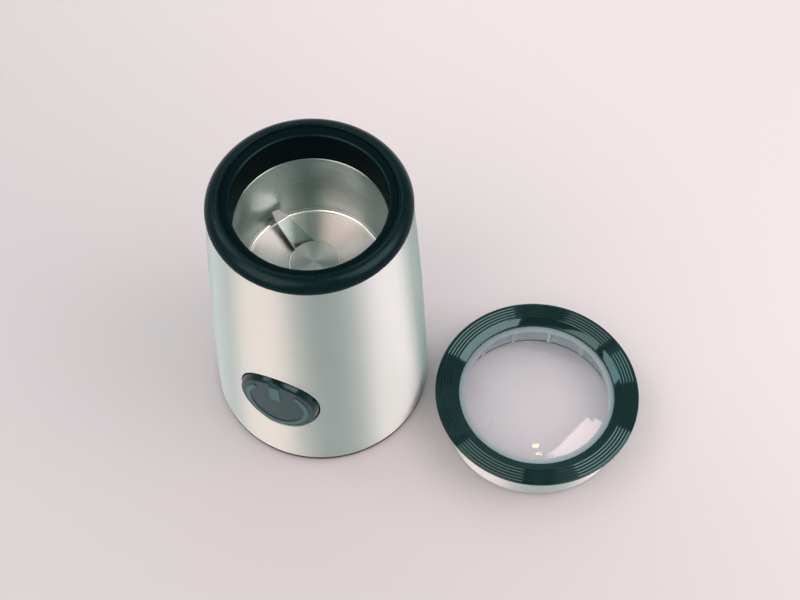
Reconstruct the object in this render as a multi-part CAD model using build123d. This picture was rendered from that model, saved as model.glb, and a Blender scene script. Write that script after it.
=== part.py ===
from build123d import *
from math import cos, radians, sin, sqrt
import os

# Electric spice grinder. Millimetres, Z up. The origin is on the table at the grinder's axis,
# the button faces -Y and the lid lies on the table on the +X side.

# ---------------------------------------------------------------- driving dimensions

# Clearances and overlaps
seat_gap = 0.05          # round part seated in a hole of its own body
slip_gap = 0.25          # loose assembly fit
moving_gap = 0.3         # between bodies that move past each other
running_gap = 0.04       # shaft in a bearing, radial
shaft_hole_gap = 0.9     # shaft through a plate that doesn't carry it
join = 0.5               # overlap of two features in one piece
cut_overrun = 1.0        # how far a cut runs past the surface it opens

# Body shell: thin sleeve with a slightly barrelled taper
shell_bottom_radius = 50.0
shell_top_radius = 42.5
shell_bulge = 0.8
shell_sheet = 0.6
shell_height = 136.2

# Feet, base plate and its screws
foot_height = 1.2
foot_radius = 5.0
foot_recess = 1.0
foot_inset = 12.0        # foot's middle from the base's edge
foot_angles = (0, 90, 180, 270)
base_inset = 0.1
base_thickness = 2.0
base_edge = 0.4
base_upstand = 6.0
base_wall = 1.6
base_boss_height = 3.0
base_boss_radius = 6.0
base_screw_sink = 0.6
vent_inner_radius = 8.0
vent_length = 15.0
vent_width = 3.0
vent_count = 12

# Inner housing: deck under the bowl, wall around it, four posts
post_inset = 1.2         # post's middle from the housing's side
post_radius = 4.0
post_angles = (45, 135, 225, 315)
deck_thickness = 3.0
deck_hole_radius = 9.5
housing_gap = 0.7        # to the inside of the shell's top
housing_wall = 2.4
ledge_width = 4.3
ledge_thickness = 2.6

# Screws
screw_radius = 1.5
screw_head_radius = 2.9
screw_head_height = 1.8
screw_grip = 12.0
screw_recess_length = 3.2
screw_recess_width = 0.8
screw_recess_depth = 0.8

# Bowl and its gasket
bowl_rim_gap = 1.8       # rim to the housing's wall
bowl_draft = 1.2         # mouth wider than the floor
bowl_sheet = 0.6
bowl_corner = 1.0
bowl_flange_width = 4.3
bowl_hole_radius = 6.2
bowl_lip = 1.0
gasket_thickness = 0.8
gasket_width = 3.2

# Collar
collar_overhang = 0.3    # past the shell's top edge
collar_edge = 0.4
collar_bore_overlap = 0.2  # inward past the bowl's mouth
collar_bore_depth = 17.0
collar_bore_round = 0.8
collar_bore_drop = 4.0   # bore edge above the shell's top
collar_wall = 2.2
collar_step_width = 3.7
collar_step_fall = 0.2
collar_crest_inset = 5.4
collar_crest_height = 1.6
collar_crest_rise = 0.7
collar_crest_inner_width = 0.8
collar_crest_outer_width = 0.6
collar_lip_height = 1.2
collar_shoulder_drop = 0.6
collar_shoulder_inset = 1.3
collar_shoulder_sag = 1.8
collar_skirt_wall = 2.3
collar_skirt_depth = 13.4
collar_top_thickness = 2.8

# Blade, its spacer and its cap
blade_thickness = 1.2
blade_tip_room = 4.9     # flat part of an arm to the bowl's wall
blade_wing_length = 5.2
blade_wing_angle = 62.0
blade_wing_top = 3.0     # length of the wing's end, past which its corner is cut
blade_wing_shoulder = 1.4
blade_hub_radius = 9.0
blade_root_width = 11.0
blade_tip_width = 6.2
blade_arm_offset = 2.5   # arm's middle line from the axis
blade_direction = 149.0
blade_bend_radius = 0.8
cap_radius = 11.0
cap_height = 2.0
cap_round = 0.5
cap_skin = 1.0
spacer_radius = 6.5
spacer_height = 2.0

# Shaft and its seal
shaft_radius = 3.0
shaft_end_radius = 2.4
shaft_tail = 2.6         # below the fan
shaft_floor_gap = 1.8    # shaft's end above the base plate
seal_flange_radius = 9.0
seal_flange_height = 1.0
seal_flange_round = 0.5
seal_neck_depth = 3.4

# Motor brackets, bearings and the dampers that hang them under the deck
bearing_radius = 6.0
bearing_length = 8.0
bearing_cup_wall = 2.6
bracket_thickness = 3.0
bracket_radius = 27.0
bracket_window_radius = 4.2
bracket_window_circle = 17.0
bracket_window_angles = (45, 135, 225, 315)
pillar_radius = 4.4
pillar_trim = 1.6        # pillar past the flat of the stator
upper_pillar_height = 11.4
lower_pillar_height = 19.0
motor_screw_circle = 19.8
motor_screw_radius = 1.6
damper_height = 3.0
damper_radius = 5.0
damper_circle = 22.4
damper_angles = (0, 120, 240)
damper_screw_setback = 0.4

# Stator and field coils
stator_height = 26.0
stator_radius = 28.5
stator_flat = 22.5
stator_yoke = 4.0
stator_back = 5.0
stator_shoe = 2.6
stator_shoe_angle = 48.0
pole_width = 16.0
air_gap = 0.5
coil_overhang = 5.2
coil_side = 5.0
coil_corner = 4.0
cutout_size = (4.0, 9.0, 2.6)

# Armature, windings and commutator
armature_radius = 16.4
armature_inset = 1.0     # shorter than the stator at each end
armature_slots = 12
slot_width = 2.2
slot_depth = 6.6
winding_overhang = 4.4
winding_inset = 1.6
winding_inner_radius = 5.0
commutator_radius = 9.0
commutator_length = 10.5
commutator_offset = 1.0  # below the windings
groove_width = 0.5
groove_depth = 1.4
riser_height = 1.4
riser_width = 1.4

# Brushes and fan
brush_width = 5.0
brush_height = 6.0
brush_length = 11.0
brush_wall = 0.8
brush_holder_length = 15.5
brush_holder_setback = 2.2
brush_holder_foot = 8.0
brush_spring_radius = 1.9
brush_spring_turns = 3
fan_radius = 22.0
fan_hub_radius = 6.0
fan_height = 7.0
fan_disc = 1.2
fan_vanes = 11
fan_vane_thickness = 1.0
fan_vane_sweep = 18.0

# Button
button_z = 50.2
button_half_width = 18.5
button_half_height = 19.9
button_face_inset = 1.3
button_proud = 1.3       # crown of the face past the shell
button_crown_radius = 75.0
button_crown_allowance = 0.6
button_bevel_depth = 5.4  # crown to the straight side
button_flange = 1.5
button_wall = 1.9
button_face_thickness = 3.0
button_edge_round = 0.7
button_hole_gap = 0.4
button_travel = 2.4
flange_depth = 6.7       # crown to the flange's front
symbol_relief = 0.4
symbol_margin = 2.2
symbol_stroke = 2.4
symbol_opening = 39.0
symbol_bar_width = 5.0
symbol_bar_length = 11.5
stem_radius = 2.5
button_spring_radius = 4.6
button_spring_turns = 5
spring_wire_radius = 0.35

# Switch carrier and switch
guide_wall = 1.2
guide_height = 6.4
carrier_depth = 13.4     # crown of the button to the carrier panel
carrier_thickness = 2.0
carrier_width = 34.0
carrier_rib_height = 4.0
carrier_rib_thickness = 1.5
carrier_rib_inset = 2.0
plunger_radius = 2.0
plunger_proud = 2.4
plunger_length = 7.2
plunger_clearance = 0.4  # behind the plunger at full travel
switch_size = (20.0, 8.0, 12.0)
switch_corner = 1.0
terminal_size = (4.0, 0.8, 7.0)
terminal_pitch = 10.0
terminal_hole_radius = 0.7
terminal_hole_inset = 2.0

# Interference capacitor and cord inlet
capacitor_size = (8.0, 18.0, 15.0)
capacitor_corner = 1.0
capacitor_inset = 17.0   # its middle from the shell's bottom edge
inlet_z = 18.5
inlet_bore_radius = 3.3
inlet_throat_radius = 4.2
inlet_throat_end = 0.4   # past the shell's outside
inlet_neck_radius = 5.2
inlet_flange_radius = 7.4
inlet_proud = 3.4        # out of the shell
inlet_depth = 5.0        # into the shell

# Lid, lying on the table
lid_gap = 6.3            # rim to the foot of the shell, in plan
lid_direction = 7.0
lid_gasket_thickness = 0.9
lid_gasket_proud = 0.1   # past the inside of the steel band
lid_sleeve_gap = 0.9     # around the collar's crest
lid_skirt_wall = 1.6
lid_height = 22.2
lid_rim_overhang = 7.3   # past the clear skirt
lid_rim_side = 1.2
lid_rim_edge = 0.3
lid_rim_thickness = 1.7
lid_opening_inset = 2.3  # inside the clear skirt
lid_opening_edge = 0.4
lid_cone_width = 3.3
lid_cone_drop = 1.5      # cone's lower edge from the top of the ridges
lid_ridge_count = 5
lid_ridge_pitch = 1.43
lid_ridge_height = 0.45
lid_groove_width = 0.3
lid_shoulder_bulge = 0.1
lid_band_sheet = 0.5
lid_band_top_inset = 0.6
lid_band_bottom_gap = 1.9  # clear skirt to the band's inside
dome_margin = 2.8        # flat glazing round the dome
dome_rise = 5.0
window_thickness = 1.6
rib_count = 14
rib_start_angle = 21.0
rib_width = 1.4
rib_depth = 0.6

# ---------------------------------------------------------------- levels and radii that follow

base_bottom = foot_height
base_top = base_bottom + base_thickness
shell_bottom = base_top
shell_top = shell_bottom + shell_height
boss_top = base_top + base_boss_height

shaft_bottom = base_top + shaft_floor_gap
fan_bottom = shaft_bottom + shaft_tail
fan_top = fan_bottom + fan_height
lower_bearing_z = fan_top + moving_gap + bearing_cup_wall + bearing_length / 2
lower_bracket_bottom = lower_bearing_z - bracket_thickness / 2
lower_bracket_top = lower_bracket_bottom + bracket_thickness
stator_bottom = lower_bracket_top + lower_pillar_height
stator_top = stator_bottom + stator_height
upper_bracket_bottom = stator_top + upper_pillar_height
upper_bracket_top = upper_bracket_bottom + bracket_thickness
upper_bearing_z = upper_bracket_bottom + bracket_thickness / 2
deck_bottom = upper_bracket_top + damper_height
deck_top = deck_bottom + deck_thickness

housing_radius = shell_top_radius - shell_sheet - housing_gap
housing_inner_radius = housing_radius - housing_wall
post_circle = housing_radius - post_inset
foot_circle = shell_bottom_radius - foot_inset
collar_radius = shell_top_radius + collar_overhang
collar_crest_radius = collar_radius - collar_crest_inset
collar_bore_edge = shell_top + collar_bore_drop
collar_crest = collar_bore_edge + collar_crest_height
collar_bottom = collar_bore_edge - collar_bore_depth
housing_top = collar_bore_edge - collar_skirt_depth
bowl_rim = collar_bottom - gasket_thickness
bowl_rim_radius = housing_inner_radius - bowl_rim_gap
bowl_mouth_radius = bowl_rim_radius - bowl_flange_width
bowl_floor_radius = bowl_mouth_radius - bowl_draft
bowl_floor = deck_top + bowl_sheet
ledge_top = bowl_rim - bowl_sheet
collar_bore_radius = bowl_mouth_radius - collar_bore_overlap

blade_flat_reach = bowl_floor_radius - blade_tip_room
seal_top = bowl_floor + seal_flange_height
spacer_bottom = seal_top + moving_gap
blade_bottom = spacer_bottom + spacer_height
blade_top = blade_bottom + blade_thickness
cap_top = blade_top + cap_height
shaft_end = cap_top - cap_skin

bearing_bore = shaft_radius + running_gap
stator_bore = armature_radius + air_gap
coil_near = stator_bore + stator_shoe + moving_gap
coil_far = stator_radius - stator_yoke - moving_gap
coil_top = stator_top + moving_gap + coil_overhang
coil_bottom = stator_bottom - moving_gap - coil_overhang
armature_top = stator_top - armature_inset
armature_bottom = stator_bottom + armature_inset
slot_floor = armature_radius - slot_depth
winding_radius = armature_radius - winding_inset
windings_top = armature_top + winding_overhang
windings_bottom = armature_bottom - winding_overhang
commutator_top = windings_bottom - commutator_offset
commutator_bottom = commutator_top - commutator_length
riser_radius = commutator_radius + riser_width

brush_z = (commutator_top - riser_height + commutator_bottom) / 2
brush_start = commutator_radius + moving_gap
brush_end = brush_start + brush_length
holder_start = brush_start + brush_holder_setback
holder_end = holder_start + brush_holder_length
cavity_half_width = brush_width / 2 + slip_gap / 2
cavity_half_height = brush_height / 2 + slip_gap / 2
holder_half_width = cavity_half_width + brush_wall
holder_half_height = cavity_half_height + brush_wall

shell_lean = shell_bottom_radius - shell_top_radius
shell_chord = sqrt(shell_lean ** 2 + shell_height ** 2)
shell_middle_radius = (shell_bottom_radius + shell_top_radius) / 2 + shell_bulge * shell_height / shell_chord
shell_middle_z = (shell_bottom + shell_top) / 2 + shell_bulge * shell_lean / shell_chord
shell_arc_radius = (shell_chord ** 2 / 4 + shell_bulge ** 2) / (2 * shell_bulge)
shell_arc_x = shell_middle_radius - shell_arc_radius * shell_height / shell_chord
shell_arc_z = shell_middle_z - shell_arc_radius * shell_lean / shell_chord


def shell_radius(z):
    """Outer radius of the shell at a height."""
    return shell_arc_x + sqrt(shell_arc_radius ** 2 - (z - shell_arc_z) ** 2)


button_reach = shell_radius(button_z) + button_proud
button_skirt_reach = button_reach - button_bevel_depth
flange_reach = button_reach - flange_depth
carrier_reach = button_reach - carrier_depth
guide_reach = carrier_reach + guide_height
capacitor_reach = shell_bottom_radius - capacitor_inset
inlet_outer_reach = shell_radius(inlet_z) + inlet_proud
inlet_inner_reach = shell_radius(inlet_z) - inlet_depth
inlet_throat_reach = shell_radius(inlet_z) + inlet_throat_end

button_face_half_width = button_half_width - button_face_inset
button_face_half_height = button_half_height - button_face_inset
button_crown_back = button_crown_radius - button_reach
button_inner_reach = button_reach - button_face_thickness
flange_back_reach = flange_reach - button_flange
flange_half_width = button_half_width + button_flange
flange_half_height = button_half_height + button_flange
guide_half_width = flange_half_width + moving_gap
guide_half_height = flange_half_height + moving_gap
carrier_back_reach = carrier_reach - carrier_thickness
plunger_tip_reach = carrier_reach + plunger_proud
plunger_back_reach = plunger_tip_reach - plunger_length
stem_end_reach = plunger_tip_reach + moving_gap
switch_back_reach = carrier_back_reach - switch_size[1]

lid_skirt_inner = collar_crest_radius + lid_sleeve_gap
lid_skirt_outer = lid_skirt_inner + lid_skirt_wall
lid_opening_radius = lid_skirt_inner - lid_opening_inset
lid_rim_radius = lid_skirt_outer + lid_rim_overhang
lid_band_bottom_radius = lid_skirt_outer + lid_band_bottom_gap + lid_band_sheet
dome_radius = lid_opening_radius - dome_margin
lid_distance = shell_bottom_radius + lid_rim_radius + lid_gap
lid_cone_bottom = lid_height - lid_cone_drop
lid_groove_z = lid_height - lid_ridge_height
lid_rim_bottom = lid_cone_bottom - lid_rim_thickness
lid_side_bottom = lid_height - lid_rim_side
lid_ridge_start = lid_opening_radius + lid_cone_width
band_top_radius = lid_rim_radius - lid_band_top_inset
band_flare = (band_top_radius - lid_band_bottom_radius) / (lid_side_bottom - lid_gasket_thickness)
window_top = lid_rim_bottom
window_underside = window_top - window_thickness
dome_sphere = (dome_radius ** 2 + dome_rise ** 2) / (2 * dome_rise)


# ---------------------------------------------------------------- shapes used by many pieces

def tube(outer, inner, low, high):
    """Round wall about the Z axis between two radii and two heights."""
    return Pos(0, 0, (low + high) / 2) * (Cylinder(outer, high - low) - Cylinder(inner, high - low))


def rod(radius, low, high, x=0.0, y=0.0):
    """Round bar along Z at a place in plan."""
    return Pos(x, y, (low + high) / 2) * Cylinder(radius, high - low)


def around(radius, angles):
    """Places on a circle in plan, one for each angle."""
    return [(radius * cos(radians(a)), radius * sin(radians(a))) for a in angles]


def block(low, high):
    """Box between two corners."""
    size = [h - l for l, h in zip(low, high)]
    middle = [(h + l) / 2 for l, h in zip(low, high)]
    return Pos(*middle) * Box(*size)


def turned(*edges):
    """Solid of revolution about Z from a closed outline in radius and height."""
    return revolve(make_face(Plane.XZ * (Curve() + list(edges))), Axis.Z)


def front_bar(sketch, z, near, far):
    """Sketch in X and Z carried along -Y from one distance to another."""
    return extrude(Pos(0, -near, z) * (Plane.XZ * sketch), far - near)


def rear_rod(radius, z, near, far):
    """Round bar along +Y at a height."""
    return Pos(0, (near + far) / 2, z) * Rot(90, 0, 0) * Cylinder(radius, far - near)


def shell_fill(offset):
    """Everything inside the shell's side, moved inward by an offset."""
    low = (shell_bottom_radius - offset, shell_bottom)
    high = (shell_top_radius - offset, shell_top)
    side = ThreePointArc(low, (shell_middle_radius - offset, shell_middle_z), high)
    rest = Polyline(high, (0, high[1]), (0, low[1]), low)
    return turned(side, rest)


def screw(head_low, tip, x, y, radius=screw_radius):
    """Pan-head screw pointing up, with a cross recess in its head."""
    head = rod(screw_head_radius, head_low, head_low + screw_head_height, x, y)
    shank = rod(radius, head_low + screw_head_height, tip, x, y)
    cross = Box(screw_recess_length, screw_recess_width, 2 * screw_recess_depth)
    cross += Box(screw_recess_width, screw_recess_length, 2 * screw_recess_depth)
    return head + shank - Pos(x, y, head_low) * cross


def coil_spring(radius, length, turns):
    """Round-wire spring along Z, starting at zero."""
    pitch = (length - 2 * spring_wire_radius) / turns
    path = Pos(0, 0, spring_wire_radius) * Helix(pitch, pitch * turns, radius)
    section = Plane(origin=path @ 0, z_dir=path % 0) * Circle(spring_wire_radius)
    return sweep(section, path, is_frenet=True)


# ---------------------------------------------------------------- shell, base and feet

def outer_shell():
    sleeve = shell_fill(0) - shell_fill(shell_sheet)
    window = Ellipse(button_half_width + button_hole_gap, button_half_height + button_hole_gap)
    outside = shell_bottom_radius + cut_overrun
    sleeve -= front_bar(window, button_z, 0, outside)
    return sleeve - rear_rod(inlet_neck_radius + seat_gap, inlet_z, 0, outside)


def rubber_feet():
    top = foot_height + foot_recess
    return [rod(foot_radius, 0, top, x, y) for x, y in around(foot_circle, foot_angles)]


def base_plate():
    """Disc with a rim wall inside the shell, screw bosses, foot recesses, vents and carrier ribs."""
    plate = rod(shell_bottom_radius - base_inset, base_bottom, base_top)
    plate = chamfer(plate.faces().sort_by(Axis.Z)[0].edges(), base_edge)
    upstand_radius = shell_bottom_radius - shell_sheet - 2 * slip_gap
    plate += tube(upstand_radius, upstand_radius - base_wall, base_top, base_top + base_upstand)
    head_room = base_bottom + base_screw_sink + screw_head_height
    for x, y in around(post_circle, post_angles):
        plate += rod(base_boss_radius, base_top, boss_top, x, y) & rod(upstand_radius, base_top, boss_top)
        plate -= rod(screw_head_radius + slip_gap, base_bottom, head_room, x, y)
        plate -= rod(screw_radius + seat_gap, base_bottom, boss_top, x, y)
    for x, y in around(foot_circle, foot_angles):
        plate -= rod(foot_radius + seat_gap, base_bottom, base_bottom + foot_recess, x, y)
    rib_half = carrier_width / 2 - carrier_rib_inset
    rib_top = base_top + carrier_rib_height
    for near in (carrier_reach + slip_gap, carrier_back_reach - slip_gap - carrier_rib_thickness):
        plate += block((-rib_half, -near - carrier_rib_thickness, base_top), (rib_half, -near, rib_top))
    slot = SlotOverall(vent_length, vent_width)
    for k in range(vent_count):
        turn = Rot(0, 0, 360 / vent_count * (k + 0.5))
        place = turn * Pos(vent_inner_radius + vent_length / 2, 0, 0)
        plate -= extrude(Pos(0, 0, base_bottom) * place * slot, base_thickness)
    return plate


def base_screws():
    head = base_bottom + base_screw_sink
    tip = boss_top + screw_grip
    return [screw(head, tip, x, y) for x, y in around(post_circle, post_angles)]


# ---------------------------------------------------------------- inner housing and collar

def inner_housing():
    """Deck with the bowl's wall above it, a ledge for the bowl's flange and four posts below."""
    ledge_inner = housing_inner_radius - ledge_width
    body = tube(housing_radius, deck_hole_radius, deck_bottom, deck_top)
    body += tube(housing_radius, housing_inner_radius, deck_bottom, housing_top)
    body += tube(housing_inner_radius + join, ledge_inner, ledge_top - ledge_thickness, ledge_top)
    for x, y in around(post_circle, post_angles):
        body += rod(post_radius, boss_top, deck_bottom + join, x, y)
        body -= rod(screw_radius + seat_gap, boss_top, boss_top + screw_grip + cut_overrun, x, y)
    for x, y in around(damper_circle, damper_angles):
        body -= rod(screw_radius + seat_gap, deck_bottom, deck_top, x, y)
    return body


def collar_ring():
    """Rounded crest around the mouth, a sunk step inside it, a bore wall and a skirt."""
    round_start = (collar_bore_radius, collar_bore_edge - collar_bore_round)
    round_end = (collar_bore_radius + collar_bore_round, collar_bore_edge)
    step_end = (collar_bore_radius + collar_step_width, collar_bore_edge - collar_step_fall)
    crest_inner = (collar_crest_radius - collar_crest_inner_width, collar_bore_edge + collar_crest_rise)
    crest_outer = (collar_crest_radius + collar_crest_outer_width, collar_crest - collar_shoulder_drop)
    shoulder = (collar_radius - collar_shoulder_inset, crest_outer[1] - collar_shoulder_sag)
    lip_top = (collar_radius, shell_top + collar_lip_height)
    skirt_inner = housing_radius - collar_skirt_wall
    under = collar_bore_edge - collar_top_thickness
    return turned(
        Line((collar_bore_radius, collar_bottom), round_start),
        RadiusArc(round_start, round_end, collar_bore_round),
        Polyline(round_end, step_end, crest_inner),
        ThreePointArc(crest_inner, (collar_crest_radius, collar_crest), crest_outer),
        ThreePointArc(crest_outer, shoulder, lip_top),
        Polyline(
            lip_top,
            (collar_radius, shell_top + collar_edge),
            (collar_radius - collar_edge, shell_top),
            (housing_radius, shell_top),
            (housing_radius, housing_top),
            (skirt_inner, housing_top),
            (skirt_inner, under),
            (collar_bore_radius + collar_wall, under),
            (collar_bore_radius + collar_wall, collar_bottom),
            (collar_bore_radius, collar_bottom),
        ),
    )


# ---------------------------------------------------------------- bowl, gasket and shaft seal

def bowl_outline(offset, start, end):
    """Floor, corner, wall, rounded mouth and flange, moved outward and down by an offset."""
    corner = bowl_corner + offset
    low = bowl_floor - offset
    foot = bowl_floor_radius + offset
    mouth = bowl_mouth_radius + offset
    lip = bowl_lip - offset
    top = bowl_rim - offset
    return [
        Line(start, (foot - corner, low)),
        RadiusArc((foot - corner, low), (foot, low + corner), -corner),
        Line((foot, low + corner), (mouth, top - lip)),
        RadiusArc((mouth, top - lip), (mouth + lip, top), lip),
        Line((mouth + lip, top), end),
    ]


def grinding_bowl():
    rim = bowl_rim_radius
    under_floor = bowl_floor - bowl_sheet
    under_rim = bowl_rim - bowl_sheet
    inner = bowl_outline(0, (bowl_hole_radius, bowl_floor), (rim, bowl_rim))
    outer = bowl_outline(bowl_sheet, (bowl_hole_radius, under_floor), (rim, under_rim))
    hole_edge = Line((bowl_hole_radius, bowl_floor), (bowl_hole_radius, under_floor))
    rim_edge = Line((rim, bowl_rim), (rim, under_rim))
    return turned(*inner, *outer, hole_edge, rim_edge)


def bowl_gasket():
    inner = bowl_mouth_radius + bowl_lip
    return tube(inner + gasket_width, inner, bowl_rim, collar_bottom)


def shaft_seal():
    """Flanged rubber bush in the floor of the bowl."""
    neck = rod(bowl_hole_radius - seat_gap, bowl_floor - seal_neck_depth, bowl_floor)
    flange = rod(seal_flange_radius, bowl_floor, seal_top)
    flange = fillet(flange.faces().sort_by(Axis.Z)[-1].edges(), seal_flange_round)
    return neck + flange - rod(bearing_bore, bowl_floor - seal_neck_depth, seal_top)


# ---------------------------------------------------------------- blade group

def blade_spacer():
    return tube(spacer_radius, shaft_radius + seat_gap, spacer_bottom, blade_bottom)


def blade():
    """Strip with two tapered arms beside the axis, each ending in a wing bent upward."""
    reach = blade_flat_reach
    half_root = blade_root_width / 2
    half_tip = blade_tip_width / 2
    arm = Polyline((0, -half_root), (reach, -half_tip), (reach, half_tip), (0, half_root), close=True)
    flat = extrude(Pos(0, 0, blade_bottom) * make_face(arm), blade_thickness)
    rise = radians(blade_wing_angle)
    inner = blade_bend_radius
    outer = inner + blade_thickness
    centre_z = blade_top + inner

    def on_bend(radius, angle):
        return (reach + radius * sin(angle), centre_z - radius * cos(angle))

    def past_bend(radius):
        x, z = on_bend(radius, rise)
        return (x + blade_wing_length * cos(rise), z + blade_wing_length * sin(rise))

    outline = Curve() + [
        Line((reach, blade_top), (reach, blade_bottom)),
        ThreePointArc(on_bend(outer, 0), on_bend(outer, rise / 2), on_bend(outer, rise)),
        Polyline(on_bend(outer, rise), past_bend(outer), past_bend(inner), on_bend(inner, rise)),
        ThreePointArc(on_bend(inner, rise), on_bend(inner, rise / 2), on_bend(inner, 0)),
    ]
    wing = Pos(0, half_tip, 0) * extrude(make_face(Plane.XZ * outline), blade_tip_width)
    far, wing_top = past_bend(inner)
    far += blade_thickness
    plan = Polyline(
        (reach, -half_tip),
        (reach + blade_wing_shoulder, -half_tip),
        (far, half_tip - blade_wing_top),
        (far, half_tip),
        (reach, half_tip),
        close=True,
    )
    wing &= extrude(Pos(0, 0, blade_bottom) * make_face(plan), wing_top - blade_bottom)
    one_arm = Pos(0, -blade_arm_offset, 0) * (flat + wing)
    both = one_arm + Rot(0, 0, 180) * one_arm + rod(blade_hub_radius, blade_bottom, blade_top)
    return Rot(0, 0, blade_direction) * both - rod(shaft_end_radius + seat_gap, blade_bottom, blade_top)


def blade_cap():
    cap = rod(cap_radius, blade_top, cap_top)
    cap = fillet(cap.faces().sort_by(Axis.Z)[-1].edges(), cap_round)
    return cap - rod(shaft_end_radius + seat_gap, blade_top, shaft_end + seat_gap)


def motor_shaft():
    return rod(shaft_radius, shaft_bottom, blade_bottom) + rod(shaft_end_radius, blade_bottom, shaft_end)


# ---------------------------------------------------------------- motor

def bearing(middle):
    low = middle - bearing_length / 2
    high = middle + bearing_length / 2
    return tube(bearing_radius, bearing_bore, low, high)


def bracket(low, high):
    """Round motor bracket with a bearing cup and four windows."""
    middle = (low + high) / 2
    cup_floor = middle - bearing_length / 2
    cup_low = cup_floor - bearing_cup_wall
    cup_high = middle + bearing_length / 2
    plate = rod(bracket_radius, low, high)
    for x, y in around(bracket_window_circle, bracket_window_angles):
        plate -= rod(bracket_window_radius, low, high, x, y)
    plate += rod(bearing_radius + bearing_cup_wall, cup_low, cup_high)
    plate -= rod(bearing_radius + seat_gap, cup_floor, cup_high)
    return plate - rod(shaft_radius + shaft_hole_gap, cup_low, cup_high)


def with_pillars(body, low, high, hole_low, hole_high):
    """Bracket with two pillars, trimmed near the stator's flats, and a screw hole through each."""
    for y in (-motor_screw_circle, motor_screw_circle):
        body += rod(pillar_radius, low, high, 0, y) & rod(stator_flat + pillar_trim, low, high)
        body -= rod(motor_screw_radius + seat_gap, hole_low, hole_high, 0, y)
    return body


def upper_bracket():
    body = bracket(upper_bracket_bottom, upper_bracket_top)
    body = with_pillars(body, stator_top, upper_bracket_bottom, stator_top, upper_bracket_top)
    for x, y in around(damper_circle, damper_angles):
        body -= rod(screw_radius + seat_gap, upper_bracket_bottom, upper_bracket_top, x, y)
    return body


def lower_bracket():
    body = bracket(lower_bracket_bottom, lower_bracket_top)
    body = with_pillars(body, lower_bracket_top, stator_bottom, lower_bracket_bottom, stator_bottom)
    foot_top = brush_z - holder_half_height
    for side in (-1, 1):
        middle = side * (holder_start + holder_end) / 2
        low = (middle - brush_holder_foot / 2, -holder_half_width, lower_bracket_top)
        high = (middle + brush_holder_foot / 2, holder_half_width, foot_top)
        body += block(low, high)
    return body


def stator_core():
    """Laminations with two poles on the X axis and two flats facing Y."""
    wide = 3 * stator_radius
    outline = Circle(stator_radius) & Rectangle(wide, 2 * stator_flat)
    window = Circle(stator_radius - stator_yoke) & Rectangle(wide, 2 * (stator_flat - stator_back))
    pole = Rectangle(wide, pole_width)
    shoe = Circle(stator_bore + stator_shoe)
    wedge_x = 2 * stator_radius * cos(radians(stator_shoe_angle))
    wedge_y = 2 * stator_radius * sin(radians(stator_shoe_angle))
    for side in (-1, 1):
        wedge = make_face(Polyline((0, 0), (side * wedge_x, -wedge_y), (side * wedge_x, wedge_y), close=True))
        pole += wedge & shoe
    lamination = outline - (window - pole) - Circle(stator_bore)
    for y in (-motor_screw_circle, motor_screw_circle):
        lamination -= Pos(0, y) * Circle(motor_screw_radius + seat_gap)
    return extrude(Pos(0, 0, stator_bottom) * lamination, stator_height)


def field_coils():
    """Wound frames around the two poles, trimmed to the inside of the yoke."""
    middle = (coil_top + coil_bottom) / 2
    inner_width = pole_width + 2 * moving_gap
    inner_height = stator_height + 2 * moving_gap
    frame = RectangleRounded(inner_width + 2 * coil_side, coil_top - coil_bottom, coil_corner)
    frame -= Rectangle(inner_width, inner_height)
    yoke_inside = rod(coil_far, coil_bottom, coil_top)
    coils = []
    for side in (-1, 1):
        coil = extrude(Pos(side * coil_near, 0, middle) * (Plane.YZ * frame), side * stator_radius)
        coils.append(coil & yoke_inside)
    return coils


def thermal_cutout():
    """Sits on the end turns of the +X field coil."""
    length, width, height = cutout_size
    low = (coil_near, -width / 2, coil_top)
    return block(low, (coil_near + length, width / 2, coil_top + height))


def motor_screws():
    head = lower_bracket_bottom - screw_head_height
    places = [(0, -motor_screw_circle), (0, motor_screw_circle)]
    return [screw(head, upper_bracket_top, x, y, motor_screw_radius) for x, y in places]


def motor_dampers():
    dampers = []
    for x, y in around(damper_circle, damper_angles):
        hole = rod(screw_radius + seat_gap, upper_bracket_top, deck_bottom, x, y)
        dampers.append(rod(damper_radius, upper_bracket_top, deck_bottom, x, y) - hole)
    return dampers


def damper_screws():
    head = upper_bracket_bottom - screw_head_height
    tip = deck_top - damper_screw_setback
    return [screw(head, tip, x, y) for x, y in around(damper_circle, damper_angles)]


def armature_core():
    core = tube(armature_radius, shaft_radius + seat_gap, armature_bottom, armature_top)
    low = (slot_floor, -slot_width / 2, armature_bottom)
    high = (armature_radius + cut_overrun, slot_width / 2, armature_top)
    for k in range(armature_slots):
        core -= Rot(0, 0, 360 / armature_slots * k) * block(low, high)
    return core


def armature_windings():
    """Wire in every slot, joined by a ring of end turns above and below the core."""
    wire = tube(winding_radius, winding_inner_radius, windings_bottom, armature_bottom)
    wire += tube(winding_radius, winding_inner_radius, armature_top, windings_top)
    half = slot_width / 2 - moving_gap
    low = (slot_floor + moving_gap, -half, armature_bottom)
    high = (winding_radius, half, armature_top)
    for k in range(armature_slots):
        wire += Rot(0, 0, 360 / armature_slots * k) * block(low, high)
    return wire


def commutator():
    """Copper drum with a riser at the top, grooved between the segments."""
    drum = rod(commutator_radius, commutator_bottom, commutator_top)
    drum += rod(riser_radius, commutator_top - riser_height, commutator_top)
    low = (commutator_radius - groove_depth, -groove_width / 2, commutator_bottom)
    high = (riser_radius + cut_overrun, groove_width / 2, commutator_top)
    for k in range(armature_slots):
        drum -= Rot(0, 0, 360 / armature_slots * (k + 0.5)) * block(low, high)
    return drum - rod(shaft_radius + seat_gap, commutator_bottom, commutator_top)


def brush_bar(half_width, half_height, near, far, side):
    """Square bar at the brushes' height, running outward on one side."""
    ends = sorted((side * near, side * far))
    low = (ends[0], -half_width, brush_z - half_height)
    return block(low, (ends[1], half_width, brush_z + half_height))


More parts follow.
